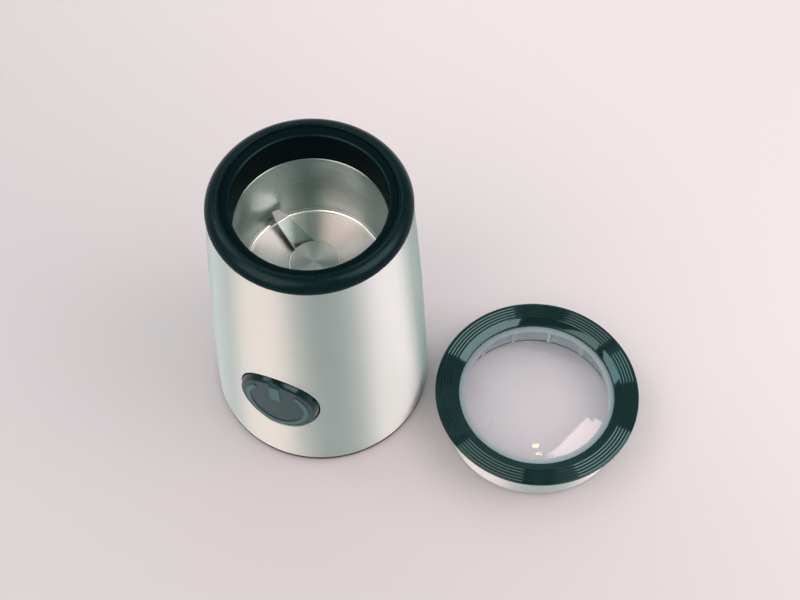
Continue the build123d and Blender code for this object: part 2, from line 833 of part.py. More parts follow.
def brush_holders():
    holders = []
    for side in (-1, 1):
        case = brush_bar(holder_half_width, holder_half_height, holder_start, holder_end, side)
        cavity_end = holder_end - brush_wall
        case -= brush_bar(cavity_half_width, cavity_half_height, holder_start, cavity_end, side)
        holders.append(case)
    return holders


def carbon_brushes():
    drum = rod(brush_start, brush_z - brush_height, brush_z + brush_height)
    brushes = []
    for side in (-1, 1):
        bar = brush_bar(brush_width / 2, brush_height / 2, brush_start - cut_overrun, brush_end, side)
        brushes.append(bar - drum)
    return brushes


def brush_springs():
    length = holder_end - brush_wall - brush_end
    spring = coil_spring(brush_spring_radius, length, brush_spring_turns)
    right = Pos(brush_end, 0, brush_z) * Rot(0, 90, 0) * spring
    left = Pos(-brush_end, 0, brush_z) * Rot(0, -90, 0) * spring
    return [right, left]


def cooling_fan():
    fan = rod(fan_radius, fan_top - fan_disc, fan_top)
    fan += rod(fan_hub_radius, fan_bottom, fan_top)
    span = fan_radius - fan_hub_radius
    vane = Rot(0, 0, fan_vane_sweep) * Box(span, fan_vane_thickness, fan_height)
    vane = Pos(fan_hub_radius + span / 2, 0, (fan_bottom + fan_top) / 2) * vane
    for k in range(fan_vanes):
        fan += Rot(0, 0, 360 / fan_vanes * k) * vane
    return fan - rod(shaft_radius + seat_gap, fan_bottom, fan_top)


# ---------------------------------------------------------------- button, guide and switch

def button_crown(relief):
    """Upright cylinder whose front is the crowned face, raised by a relief."""
    crown = Cylinder(button_crown_radius + relief, 4 * button_half_height)
    return Pos(0, button_crown_back, button_z) * crown


def power_button():
    """Oval cap with a crowned face, a hollow back, a retaining flange and a stem to the switch."""
    outline = Ellipse(button_half_width, button_half_height)
    face = Ellipse(button_face_half_width, button_face_half_height)
    back = Pos(0, -button_skirt_reach, button_z) * (Plane.XZ * outline)
    front = Pos(0, -button_reach - button_crown_allowance, button_z) * (Plane.XZ * face)
    body = front_bar(outline, button_z, flange_back_reach, button_skirt_reach)
    body += loft([back, front]) & button_crown(0)
    ahead = -button_skirt_reach - cut_overrun
    body = fillet(body.edges().filter_by(lambda e: e.center().Y < ahead), button_edge_round)
    flange = Ellipse(flange_half_width, flange_half_height)
    body += front_bar(flange, button_z, flange_back_reach, flange_reach)
    hollow = Ellipse(button_half_width - button_wall, button_half_height - button_wall)
    body -= front_bar(hollow, button_z, flange_back_reach, button_inner_reach)
    body += front_bar(Circle(stem_radius), button_z, stem_end_reach, button_inner_reach)
    return body + button_symbol()


def button_symbol():
    """Raised power symbol: an oval ring open at the top, and a bar."""
    outer_w = button_face_half_width - symbol_margin
    outer_h = button_face_half_height - symbol_margin
    ring = Ellipse(outer_w, outer_h) - Ellipse(outer_w - symbol_stroke, outer_h - symbol_stroke)
    reach = 2 * outer_h
    half = reach * sin(radians(symbol_opening))
    top = reach * cos(radians(symbol_opening))
    ring -= make_face(Polyline((0, 0), (half, top), (-half, top), close=True))
    bar = Pos(0, outer_h - symbol_bar_length / 2) * Rectangle(symbol_bar_width, symbol_bar_length)
    symbol = front_bar(ring + bar, button_z, button_inner_reach + join, button_reach + cut_overrun)
    return symbol & button_crown(symbol_relief)


def button_spring():
    length = button_inner_reach - carrier_reach
    spring = coil_spring(button_spring_radius, length, button_spring_turns)
    return Pos(0, -carrier_reach, button_z) * Rot(90, 0, 0) * spring


def switch_carrier():
    """Upright panel between the base and the deck, with an oval guide for the button."""
    half = carrier_width / 2
    panel = block((-half, -carrier_reach, base_top), (half, -carrier_back_reach, deck_bottom))
    outer = Ellipse(guide_half_width + guide_wall, guide_half_height + guide_wall)
    panel += front_bar(outer, button_z, carrier_back_reach, carrier_reach)
    guide = outer - Ellipse(guide_half_width, guide_half_height)
    panel += front_bar(guide, button_z, carrier_reach, guide_reach) & shell_fill(shell_sheet + moving_gap)
    return panel - front_bar(Circle(plunger_radius + moving_gap), button_z, carrier_back_reach, carrier_reach)


def push_switch():
    width, _, height = switch_size
    case = RectangleRounded(width, height, switch_corner)
    body = front_bar(case, button_z, switch_back_reach, carrier_back_reach)
    pocket = plunger_back_reach - button_travel - plunger_clearance
    return body - front_bar(Circle(plunger_radius + seat_gap), button_z, pocket, carrier_back_reach)


def switch_plunger():
    return front_bar(Circle(plunger_radius), button_z, plunger_back_reach, plunger_tip_reach)


def switch_terminals():
    width, thickness, length = terminal_size
    top = button_z - switch_size[2] / 2
    low = top - length
    y = -(carrier_back_reach + switch_back_reach) / 2
    tabs = []
    for x in (-terminal_pitch / 2, terminal_pitch / 2):
        tab = block((x - width / 2, y - thickness / 2, low), (x + width / 2, y + thickness / 2, top))
        hole = Cylinder(terminal_hole_radius, thickness + cut_overrun)
        tabs.append(tab - Pos(x, y, low + terminal_hole_inset) * Rot(90, 0, 0) * hole)
    return tabs


# ---------------------------------------------------------------- capacitor and cord inlet

def capacitor():
    depth, width, height = capacitor_size
    low = (capacitor_reach - depth / 2, -width / 2, base_top)
    high = (capacitor_reach + depth / 2, width / 2, base_top + height)
    case = block(low, high)
    return fillet(case.edges().filter_by(Axis.Z), capacitor_corner)


def cord_inlet():
    """Grommet in the shell's back, flanged on both sides of the sheet, its bore wider inside."""
    flange = rear_rod(inlet_flange_radius, inlet_z, inlet_inner_reach, inlet_outer_reach)
    neck = rear_rod(inlet_neck_radius, inlet_z, inlet_inner_reach, inlet_outer_reach)
    bore = rear_rod(inlet_bore_radius, inlet_z, inlet_throat_reach, inlet_outer_reach)
    throat = rear_rod(inlet_throat_radius, inlet_z, inlet_inner_reach, inlet_throat_reach)
    outside = flange - shell_fill(-seat_gap)
    inside = flange & shell_fill(shell_sheet + seat_gap)
    return outside + inside + neck - bore - throat


# ---------------------------------------------------------------- lid

def at_lid(shape):
    """Shape moved from the axis to the lid's place on the table."""
    return Pos(*around(lid_distance, [lid_direction])[0]) * shape


def lid_gasket():
    outer = lid_band_bottom_radius - lid_band_sheet + lid_gasket_proud
    return at_lid(tube(outer, lid_skirt_inner, 0, lid_gasket_thickness))


def lid_rim():
    """Cone round the opening, round ridges, a rounded shoulder and a rebate for the steel band."""
    inner = lid_opening_radius
    edges = [Polyline(
        (inner, lid_rim_bottom),
        (inner, lid_cone_bottom - lid_opening_edge),
        (inner + lid_opening_edge, lid_cone_bottom),
        (lid_ridge_start, lid_groove_z),
    )]
    start = lid_ridge_start
    for _ in range(lid_ridge_count):
        end = start + lid_ridge_pitch - lid_groove_width
        crest = ((start + end) / 2, lid_height)
        edges.append(ThreePointArc((start, lid_groove_z), crest, (end, lid_groove_z)))
        start = end + lid_groove_width
        edges.append(Line((end, lid_groove_z), (start, lid_groove_z)))
    side_top = lid_groove_z - lid_rim_edge
    shoulder = ((start + lid_rim_radius) / 2 + lid_shoulder_bulge, lid_groove_z + lid_shoulder_bulge)
    edges.append(ThreePointArc((start, lid_groove_z), shoulder, (lid_rim_radius, side_top)))
    rebate = band_top_radius - lid_band_sheet - slip_gap
    rebate_foot = rebate - band_flare * (lid_side_bottom - lid_rim_bottom)
    edges.append(Polyline(
        (lid_rim_radius, side_top),
        (lid_rim_radius, lid_side_bottom + lid_rim_edge),
        (lid_rim_radius - lid_rim_edge, lid_side_bottom),
        (rebate, lid_side_bottom),
        (rebate_foot, lid_rim_bottom),
        (inner, lid_rim_bottom),
    ))
    return at_lid(turned(*edges))


def lid_band():
    """Flared sleeve from the gasket up to the rim's underside."""
    return at_lid(turned(Polyline(
        (lid_band_bottom_radius, lid_gasket_thickness),
        (band_top_radius, lid_side_bottom),
        (band_top_radius - lid_band_sheet, lid_side_bottom),
        (lid_band_bottom_radius - lid_band_sheet, lid_gasket_thickness),
        (lid_band_bottom_radius, lid_gasket_thickness),
    )))


def dome_height(radius):
    """Height of the dome above its edge, at a distance from its middle."""
    return sqrt(dome_sphere ** 2 - radius ** 2) - (dome_sphere - dome_rise)


def lid_window():
    """Clear moulding: dome, flat shoulder under the rim and a ribbed skirt down to the gasket."""
    halfway = dome_radius / 2
    bend = dome_height(halfway)
    body = turned(
        ThreePointArc((0, window_top + dome_rise), (halfway, window_top + bend), (dome_radius, window_top)),
        Polyline(
            (dome_radius, window_top),
            (lid_skirt_outer, window_top),
            (lid_skirt_outer, lid_gasket_thickness),
            (lid_skirt_inner, lid_gasket_thickness),
            (lid_skirt_inner, window_underside),
            (dome_radius, window_underside),
        ),
        ThreePointArc(
            (dome_radius, window_underside),
            (halfway, window_underside + bend),
            (0, window_underside + dome_rise),
        ),
        Line((0, window_underside + dome_rise), (0, window_top + dome_rise)),
    )
    low = (lid_skirt_inner - rib_depth, -rib_width / 2, lid_gasket_thickness)
    high = (lid_skirt_inner + join, rib_width / 2, window_underside)
    for k in range(rib_count):
        body += Rot(0, 0, rib_start_angle + 360 / rib_count * k) * block(low, high)
    return at_lid(body)


# ---------------------------------------------------------------- build

pieces = {
    "outer_shell": outer_shell(),
    "rubber_feet": rubber_feet(),
    "base_plate": base_plate(),
    "base_screws": base_screws(),
    "inner_housing": inner_housing(),
    "collar_ring": collar_ring(),
    "grinding_bowl": grinding_bowl(),
    "bowl_gasket": bowl_gasket(),
    "shaft_seal": shaft_seal(),
    "blade_spacer": blade_spacer(),
    "blade": blade(),
    "blade_cap": blade_cap(),
    "motor_shaft": motor_shaft(),
    "upper_bearing": bearing(upper_bearing_z),
    "lower_bearing": bearing(lower_bearing_z),
    "upper_bracket": upper_bracket(),
    "lower_bracket": lower_bracket(),
    "stator_core": stator_core(),
    "field_coils": field_coils(),
    "thermal_cutout": thermal_cutout(),
    "motor_screws": motor_screws(),
    "motor_dampers": motor_dampers(),
    "damper_screws": damper_screws(),
    "armature_core": armature_core(),
    "armature_windings": armature_windings(),
    "commutator": commutator(),
    "brush_holders": brush_holders(),
    "carbon_brushes": carbon_brushes(),
    "brush_springs": brush_springs(),
    "cooling_fan": cooling_fan(),
    "power_button": power_button(),
    "button_spring": button_spring(),
    "switch_carrier": switch_carrier(),
    "push_switch": push_switch(),
    "switch_plunger": switch_plunger(),
    "switch_terminals": switch_terminals(),
    "capacitor": capacitor(),
    "cord_inlet": cord_inlet(),
    "lid_gasket": lid_gasket(),
    "lid_rim": lid_rim(),
    "lid_band": lid_band(),
    "lid_window": lid_window(),
}

os.makedirs("parts", exist_ok=True)
for name, piece in pieces.items():
    shape = Compound(children=piece) if isinstance(piece, list) else piece
    export_step(shape, f"parts/{name}.step")
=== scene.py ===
import math

import bmesh
import bpy
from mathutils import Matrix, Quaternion, Vector


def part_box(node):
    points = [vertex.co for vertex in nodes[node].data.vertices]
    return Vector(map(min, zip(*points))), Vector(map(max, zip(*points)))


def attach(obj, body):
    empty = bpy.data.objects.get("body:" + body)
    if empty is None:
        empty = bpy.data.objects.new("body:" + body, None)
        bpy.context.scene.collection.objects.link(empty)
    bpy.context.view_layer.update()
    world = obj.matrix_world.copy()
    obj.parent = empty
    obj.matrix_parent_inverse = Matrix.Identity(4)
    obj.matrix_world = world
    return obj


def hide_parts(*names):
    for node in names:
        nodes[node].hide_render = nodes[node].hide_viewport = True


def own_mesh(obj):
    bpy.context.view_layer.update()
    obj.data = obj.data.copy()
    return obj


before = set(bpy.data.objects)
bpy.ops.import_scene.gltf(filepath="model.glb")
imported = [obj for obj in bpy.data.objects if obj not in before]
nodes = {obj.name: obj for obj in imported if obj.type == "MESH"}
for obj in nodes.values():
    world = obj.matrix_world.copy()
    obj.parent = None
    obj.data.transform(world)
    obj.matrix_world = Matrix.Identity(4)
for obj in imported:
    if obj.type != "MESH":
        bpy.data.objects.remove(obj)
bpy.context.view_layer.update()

# ------------------------------------------------------------------------------------ feet
# Four round discs of black nitrile rubber, set into shallow recesses under the base plate.
# Rubber leaves its mould matt and a little dusty, so it has almost no highlight.


def linear(code):
    """Linear RGBA of an sRGB hex colour."""
    parts = [int(code[i : i + 2], 16) / 255 for i in (1, 3, 5)]
    return [p / 12.92 if p <= 0.04045 else ((p + 0.055) / 1.055) ** 2.4 for p in parts] + [1.0]


def add(tree, kind, inputs={}, **settings):
    """One node with its settings, and its inputs set to values or linked to sockets."""
    node = tree.nodes.new(kind)
    for name, value in settings.items():
        setattr(node, name, value)
    for name, value in inputs.items():
        if isinstance(value, bpy.types.NodeSocket):
            tree.links.new(value, node.inputs[name])
        else:
            node.inputs[name].default_value = value
    return node


def start_finish(name, colour, roughness, **sockets):
    """A material with its base colour, roughness and other shader sockets, and its object place."""
    material = bpy.data.materials.new(name)
    material.use_nodes = True
    tree = material.node_tree
    shader = tree.nodes["Principled BSDF"]
    shader.inputs["Base Color"].default_value = linear(colour)
    shader.inputs["Roughness"].default_value = roughness
    for socket, value in sockets.items():
        shader.inputs[socket.replace("_", " ")].default_value = value
    return material, tree, shader, add(tree, "ShaderNodeTexCoord").outputs["Object"]


def grained(finish, size_mm, smooth, rough, depth_mm, dark=None, light=None):
    """An even grain of one size that moves a finish's roughness, its surface and its colour."""
    material, tree, shader, place = finish
    place = {"Vector": place, "Scale": [1000 / size_mm] * 3}
    place = add(tree, "ShaderNodeMapping", place).outputs[0]
    noise = add(tree, "ShaderNodeTexNoise", {"Vector": place, "Scale": 1.0, "Detail": 3.0})
    height = noise.outputs["Fac"]
    gloss = {"Value": height, "From Min": 0.35, "From Max": 0.65, "To Min": smooth, "To Max": rough}
    tree.links.new(add(tree, "ShaderNodeMapRange", gloss).outputs[0], shader.inputs["Roughness"])
    relief = add(tree, "ShaderNodeBump", {"Height": height, "Distance": depth_mm / 1000})
    tree.links.new(relief.outputs[0], shader.inputs["Normal"])
    if dark:
        ramp = add(tree, "ShaderNodeValToRGB", {"Fac": height})
        ramp.color_ramp.elements[0].position, ramp.color_ramp.elements[1].position = 0.35, 0.65
        ramp.color_ramp.elements[0].color = linear(dark)
        ramp.color_ramp.elements[1].color = linear(light)
        tree.links.new(ramp.outputs[0], shader.inputs["Base Color"])
    return material


def dress(material, *names):
    """Puts one material on whole CAD nodes."""
    for name in names:
        nodes[name].data.materials.clear()
        nodes[name].data.materials.append(material)


# Moulded nitrile rubber: dull black with a talc bloom, which breaks up what little gloss it has.
foot_rubber = start_finish("moulded nitrile rubber", "#1b1d1d", 0.8)
dress(grained(foot_rubber, 0.4, 0.68, 0.92, 0.02, "#171919", "#232626"), "rubber_feet")

# ------------------------------------------------------------------------------------ base plate
# Injection-moulded ABS disc that closes the shell from below, with vents for the motor's air.
# Four zinc-plated screws hold it to the posts of the chassis.

# Black ABS from a spark-eroded mould: a fine even matt.
base_abs = start_finish("spark-eroded black ABS", "#121819", 0.55, IOR=1.53)
dress(grained(base_abs, 0.5, 0.42, 0.62, 0.012, "#10171a", "#161d1f"), "base_plate")

# Zinc plate over steel: bright, cool and slightly cloudy.
screw_zinc = start_finish("zinc-plated steel", "#c3c6c4", 0.35, Metallic=1.0)
dress(
    grained(screw_zinc, 1.2, 0.28, 0.46, 0.004, "#b4b8b8", "#cfd0c8"),
    "base_screws",
    "motor_screws",
    "damper_screws",
)

# ------------------------------------------------------------------------------------ chassis
# Inner housing of grey polypropylene: the deck under the bowl, the wall round it, four posts.
# It is moulded in one and carries the bowl above and the motor below.

# Polypropylene is slightly waxy, with a soft sheen and faint flow marks.
chassis_pp = start_finish("moulded grey polypropylene", "#6f7374", 0.48, IOR=1.49)
dress(grained(chassis_pp, 3.0, 0.4, 0.56, 0.01, "#696d6e", "#757979"), "inner_housing")

# ------------------------------------------------------------------------------------ motor
# Universal motor: die-cast end brackets with sintered bearings, varnished laminations, two
# field coils, and an armature with its commutator and brushes. It hangs on rubber dampers.

# Die-cast aluminium: light grey, dulled by the skin of the die.
cast_alloy = start_finish("die-cast aluminium", "#b9bbba", 0.45, Metallic=1.0)
cast_alloy = grained(cast_alloy, 0.8, 0.38, 0.6, 0.02, "#aeb0b0", "#c4c5c3")
dress(cast_alloy, "upper_bracket", "lower_bracket")

# Sintered bronze: brown-gold grains of a quarter millimetre with dark, oily pores between them.
bronze = start_finish("sintered bronze", "#a3824f", 0.42, Metallic=1.0)
bronze = grained(bronze, 0.25, 0.3, 0.6, 0.015, "#8d6f41", "#b08f5a")
dress(bronze, "upper_bearing", "lower_bearing")


def waves_per_metre(spacing_mm):
    """Scale at which a wave texture, which has 20 / tau waves at scale 1, has this spacing."""
    return 1000 / spacing_mm * math.tau / 20


# Stamped laminations stand 0.5 mm apart; each edge shows as a line under the dark varnish.
lamination, tree, shader, place = start_finish(
    "varnished laminations", "#3a3b3d", 0.4, Metallic=0.6
)
sheets = {"Vector": place, "Scale": waves_per_metre(0.5)}
sheets = add(tree, "ShaderNodeTexWave", sheets, bands_direction="Z").outputs["Fac"]
sheen = {"Value": sheets, "To Min": 0.3, "To Max": 0.55}
tree.links.new(add(tree, "ShaderNodeMapRange", sheen).outputs[0], shader.inputs["Roughness"])
relief = add(tree, "ShaderNodeBump", {"Height": sheets, "Distance": 0.00008})
tree.links.new(relief.outputs[0], shader.inputs["Normal"])
dress(lamination, "stator_core", "armature_core")


def wound(name, dark, light, wire_mm, direction):
    """Enamelled wire lying side by side, one turn per wave, with painted shade and highlight."""
    material, tree, shader, place = start_finish(name, light, 0.3, Metallic=1.0)
    turns = {"Vector": place, "Scale": waves_per_metre(wire_mm), "Distortion": 0.6, "Detail": 1.0}
    turns = add(tree, "ShaderNodeTexWave", turns, bands_direction=direction).outputs["Fac"]
    # The ramp paints shade between the turns and a highlight along each.
    ramp = add(tree, "ShaderNodeValToRGB", {"Fac": turns})
    ramp.color_ramp.elements[0].color = linear(dark)
    ramp.color_ramp.elements[1].color = linear(light)
    tree.links.new(ramp.outputs[0], shader.inputs["Base Color"])
    relief = add(tree, "ShaderNodeBump", {"Height": turns, "Distance": wire_mm / 4000})
    tree.links.new(relief.outputs[0], shader.inputs["Normal"])
    gloss = {"Value": turns, "To Min": 0.5, "To Max": 0.24}
    tree.links.new(add(tree, "ShaderNodeMapRange", gloss).outputs[0], shader.inputs["Roughness"])
    return material


# Enamelled copper wire: 0.4 mm on the field coils, 0.3 mm on the armature, amber under its
# enamel. Each turn is painted darker where it meets the next (painted shade) and lighter along its
# top (painted highlight).
dress(wound("field wire", "#5e2a14", "#b5683a", 0.4, "X"), "field_coils")
dress(wound("armature wire", "#582714", "#ab5f35", 0.3, "Z"), "armature_windings")

# Soft chloroprene rubber: dead matt.
damper_rubber = start_finish("soft damper rubber", "#202224", 0.85)
dress(grained(damper_rubber, 0.5, 0.75, 0.95, 0.02, "#1c1e20", "#292b2d"), "motor_dampers")

# Glass-filled polyester of the thermal cut-out: cream and slightly rough.
cutout_case = start_finish("cut-out's polyester case", "#d8d2c4", 0.5)
dress(grained(cutout_case, 0.6, 0.42, 0.6, 0.01, "#cfc8b9", "#dcd7ca"), "thermal_cutout")

# Turned copper bars: warm, with a stretched highlight.
copper_bars = start_finish("turned copper", "#c98a63", 0.3, Metallic=1.0, Anisotropic=0.6)
dress(grained(copper_bars, 0.3, 0.22, 0.42, 0.005, "#b5734b", "#d29874"), "commutator")

# Brass strip: yellow, and brighter where the press tool has rubbed it.
holder_brass = start_finish("pressed brass", "#c2a05f", 0.32, Metallic=1.0)
dress(
    grained(holder_brass, 0.9, 0.25, 0.45, 0.006, "#b08f50", "#ccab6c"),
    "brush_holders",
    "switch_terminals",
)

# Pressed carbon: dark grey, its grains glinting like graphite.
brush_carbon = start_finish("pressed carbon", "#232324", 0.6, IOR=1.8)
dress(grained(brush_carbon, 0.2, 0.45, 0.75, 0.01, "#1c1c1d", "#333335"), "carbon_brushes")

# Drawn spring wire: smooth grey steel with a narrow highlight.
spring_wire = start_finish("drawn spring wire", "#9ea0a0", 0.3, Metallic=1.0)
spring_wire = grained(spring_wire, 0.4, 0.24, 0.4, 0.004, "#8f9292", "#aeb0b0")
dress(spring_wire, "brush_springs")

# Ground shaft: the smoothest steel in the motor, close to a mirror.
ground_steel = start_finish("ground shaft steel", "#bfc2c2", 0.2, Metallic=1.0, Anisotropic=0.5)
dress(grained(ground_steel, 0.3, 0.16, 0.3, 0.003, "#b3b6b6", "#c8cbcb"), "motor_shaft")

# Natural nylon: off-white and waxy, with a little light in its thin vanes.
fan_nylon = start_finish("moulded white nylon", "#cfcabf", 0.45, IOR=1.53, Subsurface_Weight=0.1)
dress(grained(fan_nylon, 1.0, 0.38, 0.55, 0.01, "#c6c1b5", "#d6d2c8"), "cooling_fan")

# ------------------------------------------------------------------------------------ switch
# A push switch on the back of an upright panel, with its red plunger and two tabs. The panel
# stands between two ribs of the base and reaches up to the deck. The interference capacitor
# stands on the base, to one side.

# Black ABS for inside use: a coarser matt than the base plate's.
carrier_abs = start_finish("matt carrier ABS", "#26292a", 0.55, IOR=1.53)
dress(grained(carrier_abs, 0.5, 0.45, 0.62, 0.012, "#222526", "#2c2f30"), "switch_carrier")

# Phenolic case of the switch: cream, hard and a little glossy.
switch_case = start_finish("switch's phenolic case", "#d9d4c8", 0.45, IOR=1.6)
dress(grained(switch_case, 0.7, 0.38, 0.55, 0.01, "#d0cbbe", "#dedace"), "push_switch")

# Acetal plunger: saturated red with a greasy shine.
plunger_acetal = start_finish("red acetal", "#a8322a", 0.35, IOR=1.48)
dress(grained(plunger_acetal, 0.8, 0.28, 0.45, 0.005, "#9c2c25", "#b23a31"), "switch_plunger")

# Capacitor's polypropylene case: yellow, smooth, with faint flow marks.
capacitor_pp = start_finish("capacitor's yellow case", "#d3a93a", 0.4, IOR=1.49)
dress(grained(capacitor_pp, 0.9, 0.32, 0.5, 0.01, "#cb9f32", "#dab345"), "capacitor")

# ------------------------------------------------------------------------------------ shell
# Body shell of 0.6 mm stainless sheet, rolled to a slight barrel taper and brushed round and
# round on a belt. It stands on the base plate and the collar's lip covers its top edge.


def brushed(finish, along_mm, across_mm, smooth, rough, depth_mm, centre=(0.0, 0.0)):
    """Brush lines that run round an upright axis, on walls and on turned floors alike."""
    material, tree, shader, place = finish
    offset = (-centre[0], -centre[1], 0.0)
    place = add(tree, "ShaderNodeVectorMath", {0: place, 1: offset}).outputs[0]
    x, y, z = add(tree, "ShaderNodeSeparateXYZ", {"Vector": place}).outputs
    flat = add(tree, "ShaderNodeCombineXYZ", {"X": x, "Y": y}).outputs[0]
    radius = add(tree, "ShaderNodeVectorMath", {0: flat}, operation="LENGTH").outputs["Value"]
    level = add(tree, "ShaderNodeMath", {0: z, 1: radius}, operation="SUBTRACT").outputs[0]
    lines = add(tree, "ShaderNodeCombineXYZ", {"X": x, "Y": y, "Z": level}).outputs[0]
    size = (1000 / along_mm, 1000 / along_mm, 1000 / across_mm)
    lines = add(tree, "ShaderNodeMapping", {"Vector": lines, "Scale": size}).outputs[0]
    noise = add(tree, "ShaderNodeTexNoise", {"Vector": lines, "Scale": 1.0, "Detail": 4.0})
    height = noise.outputs["Fac"]
    gloss = {"Value": height, "From Min": 0.3, "From Max": 0.7, "To Min": smooth, "To Max": rough}
    tree.links.new(add(tree, "ShaderNodeMapRange", gloss).outputs[0], shader.inputs["Roughness"])
    relief = add(tree, "ShaderNodeBump", {"Height": height, "Distance": depth_mm / 1000})
    tree.links.new(relief.outputs[0], shader.inputs["Normal"])
    tangent = add(tree, "ShaderNodeTangent", direction_type="RADIAL", axis="Z")
    tree.links.new(tangent.outputs[0], shader.inputs["Tangent"])
    return material


# Brushed stainless: its lines draw every lamp out into a soft upright band. Real lines are 0.1 mm
# wide and 20 to 40 mm long; they are drawn 0.3 mm wide so that they show.
round_brushing = {"Anisotropic": 1.0, "Anisotropic_Rotation": 0.25}
shell_steel = start_finish(
    "brushed stainless sheet", "#e0e7e5", 0.55, Metallic=1.0, **round_brushing
)
dress(brushed(shell_steel, 30, 0.3, 0.5, 0.58, 0.0008), "outer_shell")

# ------------------------------------------------------------------------------------ cord inlet
# Grommet in the back of the shell, low down, for a round cord. Its two flanges hold the edge of
# the hole between them.

# Soft black PVC: satin, with a trace of bloom.
inlet_pvc = start_finish("soft black PVC", "#191d1e", 0.5, IOR=1.52)
dress(grained(inlet_pvc, 0.5, 0.4, 0.6, 0.01, "#161a1b", "#1f2324"), "cord_inlet")

# ------------------------------------------------------------------------------------ button
# Oval push button of black ABS, crowned across its width, with the generic power symbol raised on
# its face. It slides in a guide behind the shell and a flange keeps it from falling out.

button_low, button_high = (corner * 1000 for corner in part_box("power_button"))
button_middle = (button_low.z + button_high.z) / 2
button_half = (18.5, 19.9)      # where it passes the shell
button_face_half = (17.2, 18.6)
button_flange_half = (20.0, 21.4)
button_hollow_half = (16.6, 18.0)
button_relief = 0.4
button_reach = -button_low.y - button_relief
button_crown_radius = 75.0
button_side_drop = 5.4          # face to the straight side
button_flange_drop = 6.7
button_flange_thickness = 1.5
button_skin = 3.0
button_stem = 2.5
button_round = 0.7
button_round_steps = 5
button_face_steps = 46
button_turns = 320
symbol_half = (15.0, 16.4)
symbol_stroke = 2.4
symbol_gap = math.radians(39)   # the ring is open this far to each side of the top
symbol_bar = (5.0, 11.5)
symbol_slope = 0.5              # width of the rounded step up to the symbol
symbol_reach = 0.05             # behind the plain face by more than this is no longer the face
bevel_start = 0.6               # the polished bevel starts this far inside the face's outline


def crown(x):
    """Reach of the crowned face in front of the axis."""
    return button_reach - button_crown_radius + math.sqrt(button_crown_radius**2 - x * x)


def raised(x, z):
    """From 0 on the plain face to 1 on the power symbol."""
    away = math.hypot(x, z)
    wide, tall = (half - symbol_stroke / 2 for half in symbol_half)
    scaled = math.hypot(x / wide, z / tall) or 1e-6
    ring = abs(away - away / scaled) - symbol_stroke / 2
    ring = max(ring, away * math.sin(symbol_gap - math.atan2(abs(x), z)))
    from_bar = z - symbol_half[1] + symbol_bar[1] / 2
    bar = max(abs(x) - symbol_bar[0] / 2, abs(from_bar) - symbol_bar[1] / 2)
    part = min(1.0, max(0.0, 0.5 - min(ring, bar) / symbol_slope))
    return part * part * (3 - 2 * part)


def button_column(angle):
    """Points from the stem's back, over the flange and the side, to the middle of the face."""
    c, s = math.cos(angle), math.sin(angle)

    def on(half, reach):
        return Vector((half[0] * c, half[1] * s, reach))

    side_reach = button_reach - button_side_drop
    flange_reach = button_reach - button_flange_drop
    back_reach = flange_reach - button_flange_thickness
    inner_reach = button_reach - button_skin
    stem = (button_stem, button_stem)
    column = [on((0, 0), back_reach), on(stem, back_reach), on(stem, inner_reach)]
    column += [on(button_hollow_half, inner_reach), on(button_hollow_half, back_reach)]
    column += [on(button_flange_half, back_reach), on(button_flange_half, flange_reach)]
    column += [on(button_half, flange_reach), on(button_half, side_reach)]
    narrowing = (button_half[0] - button_face_half[0]) / button_side_drop
    edge = on(button_half, side_reach)
    for _ in range(4):
        inset = (crown(edge.x) - side_reach) * narrowing
        edge = on((button_half[0] - inset, button_half[1] - inset), crown(edge.x))
    edge.z = crown(edge.x)
    width = math.hypot(edge.x, edge.y)
    face_edge = Vector((edge.x, edge.y, 0)) * (1 - button_round / width)
    face_edge.z = crown(face_edge.x)
    down = edge + (column[-1] - edge).normalized() * button_round
    for k in range(button_round_steps + 1):
        part = k / button_round_steps
        column.append(down.lerp(edge, part).lerp(edge.lerp(face_edge, part), part))
    for k in range(1, button_face_steps + 1):
        part = 1 - k / button_face_steps
        x, z = face_edge.x * part, face_edge.y * part
        column.append(Vector((x, z, crown(x) + button_relief * raised(x, z))))
    return [(p.x / 1000, -p.z / 1000, (button_middle + p.y) / 1000) for p in column]


def closed(mesh, sharp_degrees):
    """Welds a closed mesh, turns its faces outward and smooths all edges flatter than an angle."""
    work = bmesh.new()
    work.from_mesh(mesh)
    bmesh.ops.remove_doubles(work, verts=work.verts, dist=1e-7)
    loose = [edge for edge in work.edges if not edge.link_faces]
    bmesh.ops.delete(work, geom=loose, context="EDGES")
    bmesh.ops.recalc_face_normals(work, faces=work.faces)
    work.to_mesh(mesh)
    work.free()
    mesh.shade_smooth()
    mesh.set_sharp_from_angle(angle=math.radians(sharp_degrees))


def fitted(name, mesh, body, stands_for):
    """Puts a mesh into the scene on a body, in place of a CAD node."""
    made = bpy.data.objects.new(name, mesh)
    bpy.context.scene.collection.objects.link(made)
    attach(made, body)
    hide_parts(stands_for)
    return made


def piece(name, columns, materials, body, stands_for, which=None):
    """Piece skinned over columns of points that go round and close; a face's centre in
    millimetres says which of the materials it has."""
    height = len(columns[0])
    faces = []
    for k in range(len(columns)):
        here, there = k * height, (k + 1) % len(columns) * height
        for i in range(height):
            j = (i + 1) % height
            faces.append((here + i, there + i, there + j, here + j))
    mesh = bpy.data.meshes.new(name)
    mesh.from_pydata([point for column in columns for point in column], [], faces)
    closed(mesh, 38)
    for material in materials:
        mesh.materials.append(material)
    for face in mesh.polygons:
        face.material_index = which(face.center * 1000) if which else 0
    return fitted(name, mesh, body, stands_for)
